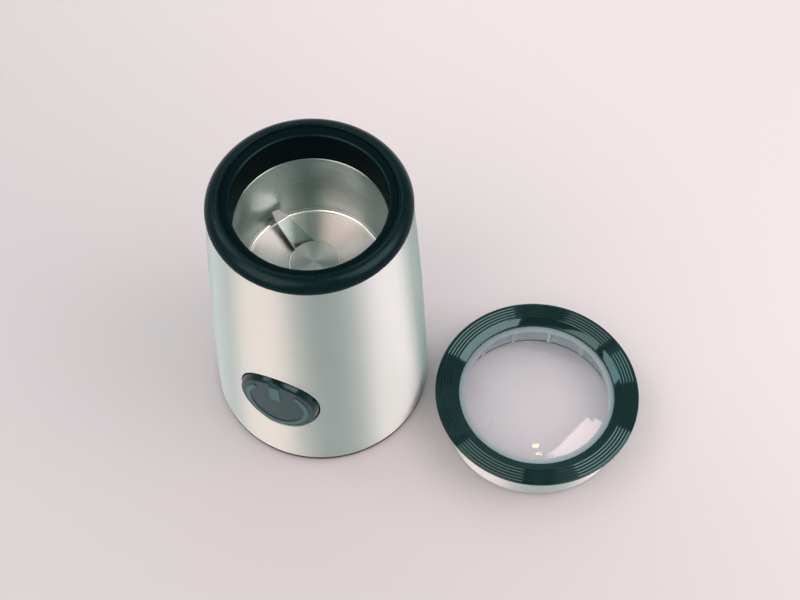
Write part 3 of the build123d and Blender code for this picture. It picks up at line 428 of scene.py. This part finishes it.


# Satin black ABS: a greenish black with a soft sheen; the raised symbol is a lighter grey-green.
black_tint = linear("#a8e4e2")
button_abs = start_finish(
    "satin black ABS", "#14393d", 0.34, IOR=1.53, Specular_IOR_Level=0.5, Specular_Tint=black_tint
)
button_abs = grained(button_abs, 1.5, 0.3, 0.38, 0.003, "#12363a", "#163e42")
tree = button_abs.node_tree
shader = tree.nodes["Principled BSDF"]
on_symbol = add(tree, "ShaderNodeAttribute", attribute_name="raised").outputs["Fac"]
face_colour = shader.inputs["Base Color"].links[0].from_socket
lighter_symbol = {0: on_symbol, 6: face_colour, 7: linear("#3a686c")}
lighter_symbol = add(tree, "ShaderNodeMix", lighter_symbol, data_type="RGBA").outputs[2]
# A thin dark line is painted on the step round the symbol, where it meets the face: painted shade.
foot = {"Value": on_symbol, "From Min": 0.02, "From Max": 0.3, "To Min": 0.0, "To Max": 1.0}
foot = add(tree, "ShaderNodeMapRange", foot).outputs[0]
top = {"Value": on_symbol, "From Min": 0.7, "From Max": 0.98, "To Min": 1.0, "To Max": 0.0}
top = add(tree, "ShaderNodeMapRange", top).outputs[0]
# Painted shade: strongest on the slope between the face and the symbol's top.
line = add(tree, "ShaderNodeMath", {0: foot, 1: top}, operation="MULTIPLY").outputs[0]
with_painted_shade = {0: line, 6: lighter_symbol, 7: linear("#04181b")}
with_painted_shade = add(tree, "ShaderNodeMix", with_painted_shade, data_type="RGBA").outputs[2]
tree.links.new(with_painted_shade, shader.inputs["Base Color"])

# Its side and bevel come from a polished part of the mould: near black with crisp highlights.
bevel_abs = start_finish(
    "polished button side",
    "#020e11",
    0.16,
    IOR=1.53,
    Specular_IOR_Level=0.6,
    Specular_Tint=black_tint,
)
bevel_abs = grained(bevel_abs, 3.0, 0.13, 0.2, 0.001, "#020c0f", "#031215")


def off_face(at):
    """0 on the button's face, 1 on the rest of it."""
    wide, tall = (half - bevel_start for half in button_face_half)
    return int(math.hypot(at.x / wide, (at.z - button_middle) / tall) > 1)


button_columns = [button_column(math.tau * k / button_turns) for k in range(button_turns)]
button = piece(
    "oval_push_button",
    button_columns,
    (button_abs, bevel_abs),
    "button",
    "power_button",
    off_face,
)
on_face = button.data.attributes.new("raised", "FLOAT", "POINT")
for value, vertex in zip(on_face.data, button.data.vertices):
    x, z = vertex.co.x * 1000, vertex.co.z * 1000 - button_middle
    value.value = raised(x, z) if -vertex.co.y * 1000 > crown(x) - symbol_reach else 0.0

# Return spring, coiled from drawn wire round the plunger; it shortens as the button goes in.
spring_low, spring_high = (corner * 1000 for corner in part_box("button_spring"))
spring_wire_radius = 0.35
spring_turns = 5
spring_radius = (spring_high.x - spring_low.x) / 2 - spring_wire_radius
spring_middle = (spring_low.z + spring_high.z) / 2
spring_rise = spring_high.y - spring_low.y - 2 * spring_wire_radius
steps, sides = spring_turns * 40, 10
points, faces = [], []
for k in range(steps + 1):
    turn = math.tau * spring_turns * k / steps
    for i in range(sides):
        out = spring_radius + spring_wire_radius * math.cos(math.tau * i / sides)
        along = spring_wire_radius * (1 + math.sin(math.tau * i / sides)) + spring_rise * k / steps
        point = (out * math.cos(turn), spring_low.y + along, spring_middle + out * math.sin(turn))
        points.append([value / 1000 for value in point])
        if k < steps:
            here, there = k * sides + i, k * sides + (i + 1) % sides
            faces.append((here, here + sides, there + sides, there))
faces += [tuple(range(sides)), tuple(reversed(range(steps * sides, steps * sides + sides)))]
spring_mesh = bpy.data.meshes.new("return_spring")
spring_mesh.from_pydata(points, [], faces)
closed(spring_mesh, 50)
spring_mesh.materials.append(spring_wire)
spring = fitted("return_spring", spring_mesh, "housing", "button_spring")
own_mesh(spring)

# ------------------------------------------------------------------------------------ bowl
# Deep-drawn stainless cup with a lathe-faced floor. Its flange rests on the chassis' ledge, a
# silicone gasket seals it under the collar, and a rubber seal closes it round the shaft.


def rounded(corners, steps=5):
    """Outline in radius and height whose corners, given as (r, z, cut), are cut back and curved."""
    outline = []
    for k, (r, z, cut) in enumerate(corners):
        here = Vector((r, z))
        if cut == 0:
            outline.append(here)
            continue
        before = here + (Vector(corners[k - 1][:2]) - here).normalized() * cut
        after = here + (Vector(corners[(k + 1) % len(corners)][:2]) - here).normalized() * cut
        for n in range(steps + 1):
            part = n / steps
            outline.append(before.lerp(here, part).lerp(here.lerp(after, part), part))
    return outline


def turned(outline, centre=(0.0, 0.0), steps=192):
    """Columns of an outline in millimetres turned about an upright axis."""
    columns = []
    for k in range(steps):
        c, s = math.cos(math.tau * k / steps), math.sin(math.tau * k / steps)
        columns.append(
            [(centre[0] + r * c / 1000, centre[1] + r * s / 1000, z / 1000) for r, z in outline]
        )
    return columns


bowl_low, bowl_high = (corner * 1000 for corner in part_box("grinding_bowl"))
bowl_sheet = 0.6
bowl_floor = bowl_low.z + bowl_sheet
bowl_floor_radius = 31.5
bowl_mouth_radius = 32.7
bowl_lip = 1.0
bowl_corner = 2.2
bowl_hole = 6.2
bowl_hole_edge = 0.15
bowl_cut_edge = 0.1
bowl_outline = rounded([
    (bowl_hole, bowl_floor, bowl_hole_edge),
    (bowl_floor_radius, bowl_floor, bowl_corner),
    (bowl_mouth_radius, bowl_high.z, bowl_lip),
    (bowl_high.x, bowl_high.z, bowl_cut_edge),
    (bowl_high.x, bowl_high.z - bowl_sheet, bowl_cut_edge),
    (bowl_mouth_radius + bowl_sheet, bowl_high.z - bowl_sheet, bowl_lip / 2),
    (bowl_floor_radius + bowl_sheet, bowl_low.z, bowl_corner + bowl_sheet),
    (bowl_hole, bowl_low.z, bowl_hole_edge),
])
# Satin drawn stainless: fine round lines blur what the wall reflects into upright streaks.
bowl_steel = start_finish(
    "satin drawn stainless",
    "#bccfcc",
    0.3,
    Metallic=1.0,
    Anisotropic=0.85,
    Anisotropic_Rotation=0.25,
)
bowl_steel = brushed(bowl_steel, 25, 0.3, 0.27, 0.31, 0.0001)
# The floor is faced on a lathe after drawing: rougher than the wall, so it gathers more light.
# It is also painted whiter than the greener wall: painted light.
faced_steel_painted_whiter = start_finish(
    "lathe-faced stainless", "#ecebe9", 0.42, Metallic=1.0, **round_brushing
)
faced_steel_painted_whiter = brushed(faced_steel_painted_whiter, 25, 0.3, 0.4, 0.45, 0.0001)
# The corner between them is painted near-white and glossier: a painted highlight, a bright ring at
# any angle.
painted_bright_ring = start_finish("burnished corner", "#f0f3f1", 0.24, Metallic=1.0)
painted_bright_ring = grained(painted_bright_ring, 1.5, 0.22, 0.27, 0.0004, "#edf0ee", "#f3f5f3")


def bowl_part(at):
    """0 on the bowl's wall, 1 on its flat floor, 2 on the corner between them."""
    if at.z < bowl_floor + 0.02:
        return 1
    return 2 if at.z < bowl_floor + 0.8 * bowl_corner else 0


piece(
    "drawn_bowl",
    turned(bowl_outline),
    (bowl_steel, faced_steel_painted_whiter, painted_bright_ring),
    "housing",
    "grinding_bowl",
    bowl_part,
)

# Grey silicone: soft satin, with a little talc left on it.
silicone = start_finish("grey silicone", "#5d6061", 0.5, IOR=1.41)
dress(grained(silicone, 0.6, 0.42, 0.6, 0.01, "#575a5b", "#646768"), "bowl_gasket")

# Nitrile seal: matt black.
seal_rubber = start_finish("black seal rubber", "#1f2222", 0.55)
dress(grained(seal_rubber, 0.5, 0.45, 0.65, 0.01, "#1b1e1e", "#262929"), "shaft_seal")

# ------------------------------------------------------------------------------------ blade
# Blade stamped from 1.2 mm stainless strip: two arms that lie beside the axis, their ends bent up
# sharply into wings with one corner trimmed. It sits on a spacer and a cap is pressed on over it.

blade_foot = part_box("blade")[0].z * 1000
blade_thickness = 1.2
blade_middle = blade_foot + blade_thickness / 2
blade_reach = 26.6
blade_offset = 2.5
blade_direction = math.radians(149)
blade_half_root = 5.5
blade_half_tip = 3.1
blade_bend = 1.4                # radius at the strip's middle
wing_angle = math.radians(62)
wing_length = 5.2
wing_parts = (0.12, 0.4, 0.7, 1.0)  # shares of the wing's length; its corner is cut from the first
wing_end = 3.0                  # width left at the wing's end
hub_radius = 9.0
hub_overlap = 2.0               # an arm starts this far inside the hub
blade_edge = 0.16               # the edges are broken by this much


def blade_stations():
    """Along one arm: distance, height, tilt, and how far the strip reaches to each side."""
    stations = []
    for k in range(7):
        along = hub_radius - hub_overlap + (blade_reach - hub_radius + hub_overlap) * k / 6
        half = blade_half_root + (blade_half_tip - blade_half_root) * along / blade_reach
        stations.append((along, blade_middle, 0.0, half, half))
    for k in range(1, 7):
        tilt = wing_angle * k / 6
        along = blade_reach + blade_bend * math.sin(tilt)
        rise = blade_middle + blade_bend * (1 - math.cos(tilt))
        stations.append((along, rise, tilt, blade_half_tip, blade_half_tip))
    start, height = stations[-1][:2]
    for part in wing_parts:
        along = start + wing_length * part * math.cos(wing_angle)
        cut = (part - wing_parts[0]) / (1 - wing_parts[0]) * (2 * blade_half_tip - wing_end)
        rise = height + wing_length * part * math.sin(wing_angle)
        stations.append((along, rise, wing_angle, blade_half_tip, blade_half_tip - cut))
    return stations


def strip_mesh(name, stations, turn):
    """Closed strip of the blade's thickness over the stations, turned to its direction."""
    points, faces = [], []
    c, s = math.cos(turn), math.sin(turn)
    for along, height, tilt, left, right in stations:
        for side, skin in ((left, 1), (left, -1), (-right, -1), (-right, 1)):
            x = along - skin * blade_thickness / 2 * math.sin(tilt)
            z = height + skin * blade_thickness / 2 * math.cos(tilt)
            y = side - blade_offset
            points.append(((x * c - y * s) / 1000, (x * s + y * c) / 1000, z / 1000))
    for k in range(len(stations) - 1):
        for i in range(4):
            j = (i + 1) % 4
            faces.append((4 * k + i, 4 * k + j, 4 * k + 4 + j, 4 * k + 4 + i))
    last = 4 * (len(stations) - 1)
    faces += [(3, 2, 1, 0), (last, last + 1, last + 2, last + 3)]
    mesh = bpy.data.meshes.new(name)
    mesh.from_pydata(points, [], faces)
    closed(mesh, 40)
    return mesh


# Mirror-polished blade steel, very slightly uneven.
blade_steel = start_finish("polished blade steel", "#d4d8d6", 0.12, Metallic=1.0)
blade_steel = grained(blade_steel, 2.0, 0.09, 0.16, 0.0008, "#ced2d0", "#dadddb")
# The wings and the cut sides are ground to an even satin, and painted near-white with little metal
# so that they look bright: a painted highlight.
wing_steel_painted_bright = start_finish("ground wing steel", "#f8f8f6", 0.6, Metallic=0.3)
wing_steel_painted_bright = grained(wing_steel_painted_bright, 0.8, 0.55, 0.65, 0.002, "#f4f4f3", "#fbfbf9")
for k, name in enumerate(("blade_arm_left", "blade_arm_right")):
    strip = strip_mesh(name, blade_stations(), blade_direction + math.pi * k)
    strip.materials.append(blade_steel)
    strip.materials.append(wing_steel_painted_bright)
    for face in strip.polygons:
        face.material_index = int(abs(face.normal.z) < 0.5)
    arm = fitted(name, strip, "rotor", "blade")
    edges = arm.modifiers.new("broken edges", "BEVEL")
    edges.width, edges.segments, edges.limit_method = blade_edge / 1000, 2, "ANGLE"
    edges.angle_limit = math.radians(40)
    edges.harden_normals = True

hub_bore = 2.45
hub_edge = 0.15
hub_clear = 0.05                # its faces lie this far inside the arms' faces
hub_foot, hub_top = blade_foot + hub_clear, blade_foot + blade_thickness - hub_clear
hub_outline = rounded([
    (hub_bore, hub_foot, 0),
    (hub_radius, hub_foot, hub_edge),
    (hub_radius, hub_top, hub_edge),
    (hub_bore, hub_top, 0),
])
piece("blade_hub", turned(hub_outline, steps=96), (blade_steel,), "rotor", "blade")
dress(blade_steel, "blade_spacer")

# Round cap over the blade, turned from bar, with a blind hole for the shaft's end.
cap_low, cap_high = (corner * 1000 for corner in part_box("blade_cap"))
cap_recess = 2.5
cap_recess_top = 1.0            # metal left over the shaft's end
cap_edge_round = 0.55
cap_foot_edge = 0.1
cap_polished = 0.45             # width of the polished edge
cap_outline = rounded([
    (0, cap_high.z, 0),
    (cap_high.x, cap_high.z, cap_edge_round),
    (cap_high.x, cap_low.z, cap_foot_edge),
    (cap_recess, cap_low.z, 0),
    (cap_recess, cap_high.z - cap_recess_top, 0),
    (0, cap_high.z - cap_recess_top, 0),
])
# Satin turned steel: lathe lines turn the light into two soft fans across the face.
cap_steel = start_finish(
    "satin turned steel", "#dde1df", 0.42, Metallic=1.0, Anisotropic=0.8, Anisotropic_Rotation=0.25
)
cap_steel = brushed(cap_steel, 12, 0.35, 0.4, 0.45, 0.0002)


def cap_edge(at):
    """1 on the cap's polished edge, 0 on its faces."""
    return int(math.hypot(at.x, at.y) > cap_high.x - cap_polished)


piece(
    "turned_cap",
    turned(cap_outline, steps=128),
    (cap_steel, blade_steel),
    "rotor",
    "blade_cap",
    cap_edge,
)

# ------------------------------------------------------------------------------------ collar
# Collar of black ABS that caps the shell and lines the mouth above the bowl: a matt bore, a thin
# bead for the lid to sit round, and a smooth shoulder out to the steel.


def bowed(start, end, rise, steps=8):
    """Corners along an edge that bulges to its left by a rise at the middle."""
    (r0, z0), (r1, z1) = start, end
    length = math.hypot(r1 - r0, z1 - z0)
    out_r, out_z = (z0 - z1) / length, (r1 - r0) / length
    corners = []
    for k in range(steps + 1):
        part = k / steps
        off = 4 * rise * part * (1 - part)
        r, z = r0 + (r1 - r0) * part, z0 + (z1 - z0) * part
        corners.append((r + out_r * off, z + out_z * off, 0))
    return corners


collar_low, collar_high = (corner * 1000 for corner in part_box("collar_ring"))
collar_bore = 32.5
collar_mouth_round = 1.0
collar_step = 36.2
collar_step_drop = 1.6          # bead to the step inside it
collar_funnel = 1.0             # the step falls this far towards the bore
collar_step_round = 0.35
collar_bead = (36.7, 37.76)     # inside and outside of the bead's top
collar_bead_round = (0.5, 0.35)
collar_shoulder = 38.1          # where the shoulder starts
collar_shoulder_drop = 0.65
collar_shoulder_rise = 0.75     # its bulge at the middle
collar_lip_drop = 4.4           # bead to the top of the straight lip
collar_lip = 1.2
collar_lip_round = 0.3
collar_skirt_outer = 41.2
collar_skirt_wall = 2.3
collar_skirt_drop = 15.0
collar_underside = 4.4          # bead to the underside
collar_wall = 2.2
collar_inner_round = 0.4
collar_edge = 0.2
rim, top = collar_high.x, collar_high.z
collar_outline = rounded([
    (collar_bore, collar_low.z, collar_edge),
    (collar_bore, top - collar_step_drop - collar_funnel, collar_mouth_round),
    (collar_step, top - collar_step_drop, collar_step_round),
    (collar_bead[0], top, collar_bead_round[0]),
    (collar_bead[1], top, collar_bead_round[1]),
    *bowed(
        (collar_shoulder, top - collar_shoulder_drop),
        (rim, top - collar_lip_drop),
        collar_shoulder_rise,
        10,
    ),
    (rim, top - collar_lip_drop - collar_lip, collar_lip_round),
    (collar_skirt_outer, top - collar_lip_drop - collar_lip, 0),
    (collar_skirt_outer, top - collar_skirt_drop, collar_edge),
    (collar_skirt_outer - collar_skirt_wall, top - collar_skirt_drop, collar_edge),
    (collar_skirt_outer - collar_skirt_wall, top - collar_underside, collar_inner_round),
    (collar_bore + collar_wall, top - collar_underside, collar_inner_round),
    (collar_bore + collar_wall, collar_low.z, collar_edge),
])
# Satin black ABS with a blue-green cast: dark in itself, a soft sheen where it turns to the light.
collar_abs = start_finish(
    "satin collar ABS",
    "#021216",
    0.3,
    IOR=1.53,
    Specular_IOR_Level=0.28,
    Specular_Tint=linear("#a8e0e0"),
)
collar_abs = grained(collar_abs, 2.5, 0.24, 0.3, 0.001, "#021115", "#03151a")
# Its bore is spark-eroded, a deep matt that swallows the light from the bowl.
bore_abs = start_finish(
    "spark-eroded bore",
    "#031115",
    0.6,
    IOR=1.53,
    Specular_IOR_Level=0.08,
    Specular_Tint=linear("#9fdcda"),
)
bore_abs = grained(bore_abs, 0.5, 0.55, 0.7, 0.006, "#020e12", "#031216")


def in_bore(at):
    """1 on the bore's wall and on the step above it, 0 on its rounded edge and outside."""
    away, margin = math.hypot(at.x, at.y) - collar_bore, 0.1
    return int(away < margin or collar_mouth_round + margin < away < collar_step - collar_bore)


piece(
    "mouth_collar",
    turned(collar_outline),
    (collar_abs, bore_abs),
    "housing",
    "collar_ring",
    in_bore,
)

# ------------------------------------------------------------------------------------ lid
# Lid, right side up on the table: a clear domed window whose skirt stands on a rubber lip, a black
# ridged rim on the window's shoulder, and a flared steel band round them. It lifts straight up.

lip_low, lip_high = (corner * 1000 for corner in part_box("lid_gasket"))
lid_centre = ((lip_low.x + lip_high.x) / 2000, (lip_low.y + lip_high.y) / 2000)
lip_radius = (lip_high.x - lip_low.x) / 2
lip_round = (0.25, 0.3)         # inside and outside, at the foot
lip_edge = 0.1
skirt_inner = 38.3
lip_outline = rounded([
    (skirt_inner, lip_low.z, lip_round[0]),
    (skirt_inner, lip_high.z, lip_edge),
    (lip_radius, lip_high.z, lip_edge),
    (lip_radius, lip_low.z, lip_round[1]),
])
# Moulded rubber: matt, a shade greyer than the black plastic.
lip_rubber = start_finish("lid's rubber lip", "#1d2323", 0.5)
lip_rubber = grained(lip_rubber, 0.6, 0.42, 0.6, 0.01, "#1a2020", "#232a2a")
piece("lid_lip", turned(lip_outline, lid_centre), (lip_rubber,), "lid", "lid_gasket")

# Band: stainless sheet, brushed round and round like the body and as soft in its highlights.
band_low, band_high = (corner * 1000 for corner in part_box("lid_band"))
band_top_radius = (band_high.x - band_low.x) / 2
band_foot_radius = 42.3
band_sheet = 0.5
band_edge = (0.2, 0.1)          # at the foot and at the top
band_outline = rounded([
    (band_foot_radius, band_low.z, band_edge[0]),
    (band_top_radius, band_high.z, band_edge[1]),
    (band_top_radius - band_sheet, band_high.z, band_edge[1]),
    (band_foot_radius - band_sheet, band_low.z, band_edge[0]),
])
band_steel = start_finish("brushed lid band", "#e2e8e6", 0.5, Metallic=1.0, **round_brushing)
band_steel = brushed(band_steel, 30, 0.3, 0.45, 0.53, 0.0008, lid_centre)
band_columns = turned(band_outline, lid_centre)
piece("flared_band", band_columns, (band_steel,), "lid", "lid_band")

# Rim: one moulding, its five ridges cut into the mould on a lathe.
rim_low, rim_high = (corner * 1000 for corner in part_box("lid_rim"))
rim_radius = (rim_high.x - rim_low.x) / 2
rim_top = rim_high.z
rim_opening = 36.0
rim_opening_round = 0.35
rim_cone_drop = 1.7             # ridge tops to the cone's foot
ridge_start = 39.3
ridge_count = 5
ridge_pitch = 1.43
ridge_width = 1.3
ridge_height = 0.34
ridge_round = 0.26
ridge_foot_round = 0.05
rim_shoulder_fall = 0.45
rim_shoulder_rise = 0.12
rim_side = 1.2
rim_side_round = 0.25
rim_edge = 0.1
rim_rebate = (45.85, 45.4)      # clear of the band's inside at its top and foot
groove = rim_top - ridge_height
ridges = []
for k in range(ridge_count):
    start = ridge_start + ridge_pitch * k
    ridges.append((start, groove, ridge_foot_round))
    ridges.append((start + ridge_width / 2, rim_top, ridge_round))
    ridges.append((start + ridge_width, groove, ridge_foot_round))
shoulder_start = (ridge_start + ridge_pitch * ridge_count, groove)
shoulder_end = (rim_radius, groove - rim_shoulder_fall)
rim_outline = rounded([
    (rim_opening, rim_low.z, rim_edge),
    (rim_opening, rim_top - rim_cone_drop, rim_opening_round),
    *ridges,
    *bowed(shoulder_start, shoulder_end, rim_shoulder_rise, 4),
    (rim_radius, rim_top - rim_side, rim_side_round),
    (rim_rebate[0], rim_top - rim_side, 0),
    (rim_rebate[1], rim_low.z, rim_edge),
])
# Black ABS from a lapped mould: nearly a mirror, so each ridge carries one thin bright line.
rim_abs = start_finish(
    "lapped black ABS",
    "#010a0c",
    0.06,
    IOR=1.54,
    Specular_IOR_Level=1.0,
    Specular_Tint=linear("#a8e4e4"),
)
rim_abs = grained(rim_abs, 4.0, 0.05, 0.07, 0.0004, "#010a0c", "#020d0f")
rim_columns = turned(rim_outline, lid_centre, 256)
piece("ridged_rim", rim_columns, (rim_abs,), "lid", "lid_rim")

# Window: moulded in one with its skirt; small ribs run up the skirt's inside.
window_low, window_high = (corner * 1000 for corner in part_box("lid_window"))
window_thickness = 1.6
window_edge = 0.2
window_under_round = 0.5
dome_rise = 5.0
dome_radius = 33.2
dome_rings = 14
dome_blend = (0.3, 0.4)         # where it meets the flange, above and below
dome_sphere = (dome_radius**2 + dome_rise**2) / (2 * dome_rise)
skirt_outer = 39.9
rib_count = 14
rib_start = 21.0
rib_half = 0.7
rib_depth = 0.6
rib_flank = 0.15
steps_between_ribs = 12
window_top = window_high.z - dome_rise
window_under = window_top - window_thickness


def dome(r, base):
    """Point of the dome over a base height."""
    return (r, base + math.sqrt(dome_sphere**2 - r * r) - dome_sphere + dome_rise, 0)


def window_outline(inner):
    """Dome, flange and skirt; the skirt's inside lies at the given radius."""
    spokes = [dome_radius * k / dome_rings for k in range(dome_rings)]
    return rounded([
        *[dome(r, window_top) for r in spokes],
        (dome_radius, window_top, dome_blend[0]),
        (skirt_outer, window_top, window_edge),
        (skirt_outer, window_low.z, window_edge),
        (inner, window_low.z, window_edge),
        (inner, window_under, window_under_round),
        (dome_radius - dome_blend[0], window_under, dome_blend[1]),
        *[dome(r, window_under) for r in reversed(spokes)],
    ], 3)


plain, ribbed = window_outline(skirt_inner), window_outline(skirt_inner - rib_depth)
window_columns = []
for k in range(rib_count):
    middle = rib_start + 360 / rib_count * k
    half, flank = (math.degrees(length / skirt_inner) for length in (rib_half, rib_flank))
    turns = [(middle - half - flank, plain), (middle - half, ribbed), (middle + half, ribbed)]
    turns.append((middle + half + flank, plain))
    step = (360 / rib_count - 2 * (half + flank)) / steps_between_ribs
    turns += [(turns[-1][0] + step * n, plain) for n in range(1, steps_between_ribs)]
    for turn, outline in turns:
        c, s = math.cos(math.radians(turn)) / 1000, math.sin(math.radians(turn)) / 1000
        window_columns.append(
            [(lid_centre[0] + r * c, lid_centre[1] + r * s, z / 1000) for r, z in outline]
        )
# Clear polycarbonate: a glossy dome that shows the lamps; light falls through it to the table.
clear, tree, shader, place = start_finish(
    "clear polycarbonate", "#f8fdff", 0.02, IOR=1.58, Transmission_Weight=1.0
)
let_through = add(tree, "ShaderNodeBsdfTransparent", {"Color": linear("#f8feff")}).outputs[0]
in_shadow = add(tree, "ShaderNodeLightPath").outputs["Is Shadow Ray"]
choice = add(tree, "ShaderNodeMixShader", {0: in_shadow, 1: shader.outputs[0], 2: let_through})
tree.links.new(choice.outputs[0], tree.nodes["Material Output"].inputs["Surface"])
# Frosted polycarbonate: the mould leaves the flange matt and faintly blue.
frosted = start_finish("frosted polycarbonate", "#b4c6cd", 0.35, IOR=1.58, Transmission_Weight=0.5)
frosted = grained(frosted, 0.6, 0.3, 0.42, 0.003, "#aec1c9", "#bacbd1")
# The skirt is seen on edge and looks milky; it is painted paler than the flange, painted light in
# the band's shade.
milky_painted_light = start_finish("milky skirt", "#bccacf", 0.3, IOR=1.58, Transmission_Weight=0.15)
milky_painted_light = grained(milky_painted_light, 0.8, 0.27, 0.34, 0.001, "#b8c6cc", "#c0ced3")
# Its ribs are glossier and painted near-white: a painted highlight that shows them as short bright
# strokes.
rib_painted_highlight = start_finish("polished rib", "#eef7f9", 0.15, IOR=1.58, Transmission_Weight=0.15)
rib_painted_highlight = grained(rib_painted_highlight, 0.8, 0.12, 0.18, 0.001, "#eaf4f7", "#f2fafb")


def window_part(at):
    """0 on the dome, 1 on the flange, 2 on the skirt, 3 on its ribs."""
    away = math.hypot(at.x / 1000 - lid_centre[0], at.y / 1000 - lid_centre[1]) * 1000
    if away < dome_radius:
        return 0
    if at.z > window_under - window_edge:
        return 1
    return 3 if away < skirt_inner - rib_depth / 2 else 2


piece(
    "domed_window",
    window_columns,
    (clear, frosted, milky_painted_light, rib_painted_highlight),
    "lid",
    "lid_window",
    window_part,
)

# ------------------------------------------------------------------------------------ table
# Table of plain pale laminate in an even, slightly green room. Two lamps on the right and one in
# front on the left draw the bright bands on the steel; a broad soft ceiling fills the shadows.

table_reach = 15.0
table_mesh = bpy.data.meshes.new("table_top")
table_corners = [(-1, -1), (1, -1), (1, 1), (-1, 1)]
table_corners = [(x * table_reach, y * table_reach, 0) for x, y in table_corners]
table_mesh.from_pydata(table_corners, [], [(0, 1, 2, 3)])
table = bpy.data.objects.new("table_top", table_mesh)
bpy.context.scene.collection.objects.link(table)
# Matt melamine laminate: plain, and painted paler towards the back right, a painted pool of light.
laminate, tree, shader, place = start_finish("pale laminate", "#d2cbd0", 0.6)
back = add(tree, "ShaderNodeVectorMath", {0: place, 1: (0.45, 0.9, 0.0)}, operation="DOT_PRODUCT")
back = {"Value": back.outputs["Value"], "From Min": -0.1, "From Max": 0.25}
back = add(tree, "ShaderNodeMapRange", back, interpolation_type="SMOOTHSTEP").outputs[0]
painted_light_towards_back = {0: back, 6: linear("#d2cbd0"), 7: linear("#ebe1e5")}
painted_light_towards_back = add(tree, "ShaderNodeMix", painted_light_towards_back, data_type="RGBA").outputs[2]
tree.links.new(painted_light_towards_back, shader.inputs["Base Color"])
table_mesh.materials.append(laminate)

# The room is brighter at the horizon than overhead. Its light and its reflections are slightly
# green; only the camera sees it off-white.
world = bpy.data.worlds.new("studio")
bpy.context.scene.world = world
world.use_nodes = True
room = world.node_tree
backdrop = room.nodes["Background"]
direction = add(room, "ShaderNodeTexCoord").outputs["Generated"]
height = add(room, "ShaderNodeSeparateXYZ", {"Vector": direction}).outputs[2]
walls = add(room, "ShaderNodeMapRange", {"Value": height, "To Min": 0.68, "To Max": 0.3}).outputs[0]
room.links.new(walls, backdrop.inputs["Strength"])
seen = add(room, "ShaderNodeLightPath").outputs["Is Camera Ray"]
tint = {0: seen, 6: linear("#ccf0ea"), 7: linear("#fff6f6")}
tint = add(room, "ShaderNodeMix", tint, data_type="RGBA").outputs[2]
room.links.new(tint, backdrop.inputs["Color"])


def softbox(name, azimuth, elevation, aside, size, level, colour, roll=0.0, distance=2.0, hides=()):
    """Rectangular lamp in a plane square to one direction from the object; level 1 looks white.
    Its offset and size are per metre of distance; it gives no light of the kinds it hides."""
    lamp = bpy.data.lights.new(name, "AREA")
    lamp.shape = "RECTANGLE"
    lamp.size, lamp.size_y = size[0] * distance, size[1] * distance
    lamp.energy = level * math.pi * lamp.size * lamp.size_y
    lamp.color = linear(colour)[:3]
    turn, lift = math.radians(azimuth), math.radians(elevation)
    out = Vector((math.cos(lift) * math.cos(turn), math.cos(lift) * math.sin(turn), math.sin(lift)))
    right = Vector((-math.sin(turn), math.cos(turn), 0.0))
    holder = bpy.data.objects.new(name, lamp)
    holder.location = (out + right * aside[0] + out.cross(right) * aside[1]) * distance
    facing = (-out).to_track_quat("-Z", "Y") @ Quaternion((0, 0, 1), math.radians(roll))
    holder.rotation_euler = facing.to_euler()
    for kind in hides:
        setattr(holder, "visible_" + kind, False)
    bpy.context.scene.collection.objects.link(holder)


# Each of the three shaping lamps is one bare lamp and, just behind it, one that only shows as a
# reflection, so that the bright bands on the steel don't bring hard shadows.
for name, distance, hides in (("softbox", 2.0, ()), ("sheen", 2.3, ("diffuse",))):
    same = {"distance": distance, "hides": hides}
    softbox("right " + name, 10, 50, (-0.029, -0.042), (0.62, 0.5), 1.8, "#ffe2e2", -15, **same)
    softbox("tilted " + name, 10, 50, (0.01, 0.255), (0.6, 0.25), 1.8, "#ffe2e2", -34, **same)
    softbox("left " + name, -125, 45, (0.085, 0.1), (0.71, 0.8), 1.35, "#ffdad2", **same)
softbox("ceiling", 0, 90, (0.0, 0.0), (2.4, 2.4), 0.7, "#fff6f4", distance=2.5, hides=("glossy",))
softbox("back window", 178, 52, (0.0, 0.0), (0.25, 0.45), 2.8, "#fff0f4")
for name, x, y in (("ceiling lamp a", 0.125, -0.029), ("ceiling lamp b", 0.178, -0.098)):
    softbox(name, 0, 90, (y, -x), (0.055, 0.022), 10.0, "#ffe9a8", 21)

# Camera: a long lens 0.76 m away, 60 degrees above the table.
camera_data = bpy.data.cameras.new("camera")
camera_data.sensor_width = 36.0
camera_data.lens = 70.90
camera = bpy.data.objects.new("camera", camera_data)
camera.location = (0.16245, -0.32025, 0.67407)
camera.rotation_euler = (math.radians(30.303), 0.0, math.radians(21.0))
bpy.context.scene.collection.objects.link(camera)
bpy.context.scene.camera = camera
bpy.context.scene.view_settings.view_transform = "Standard"
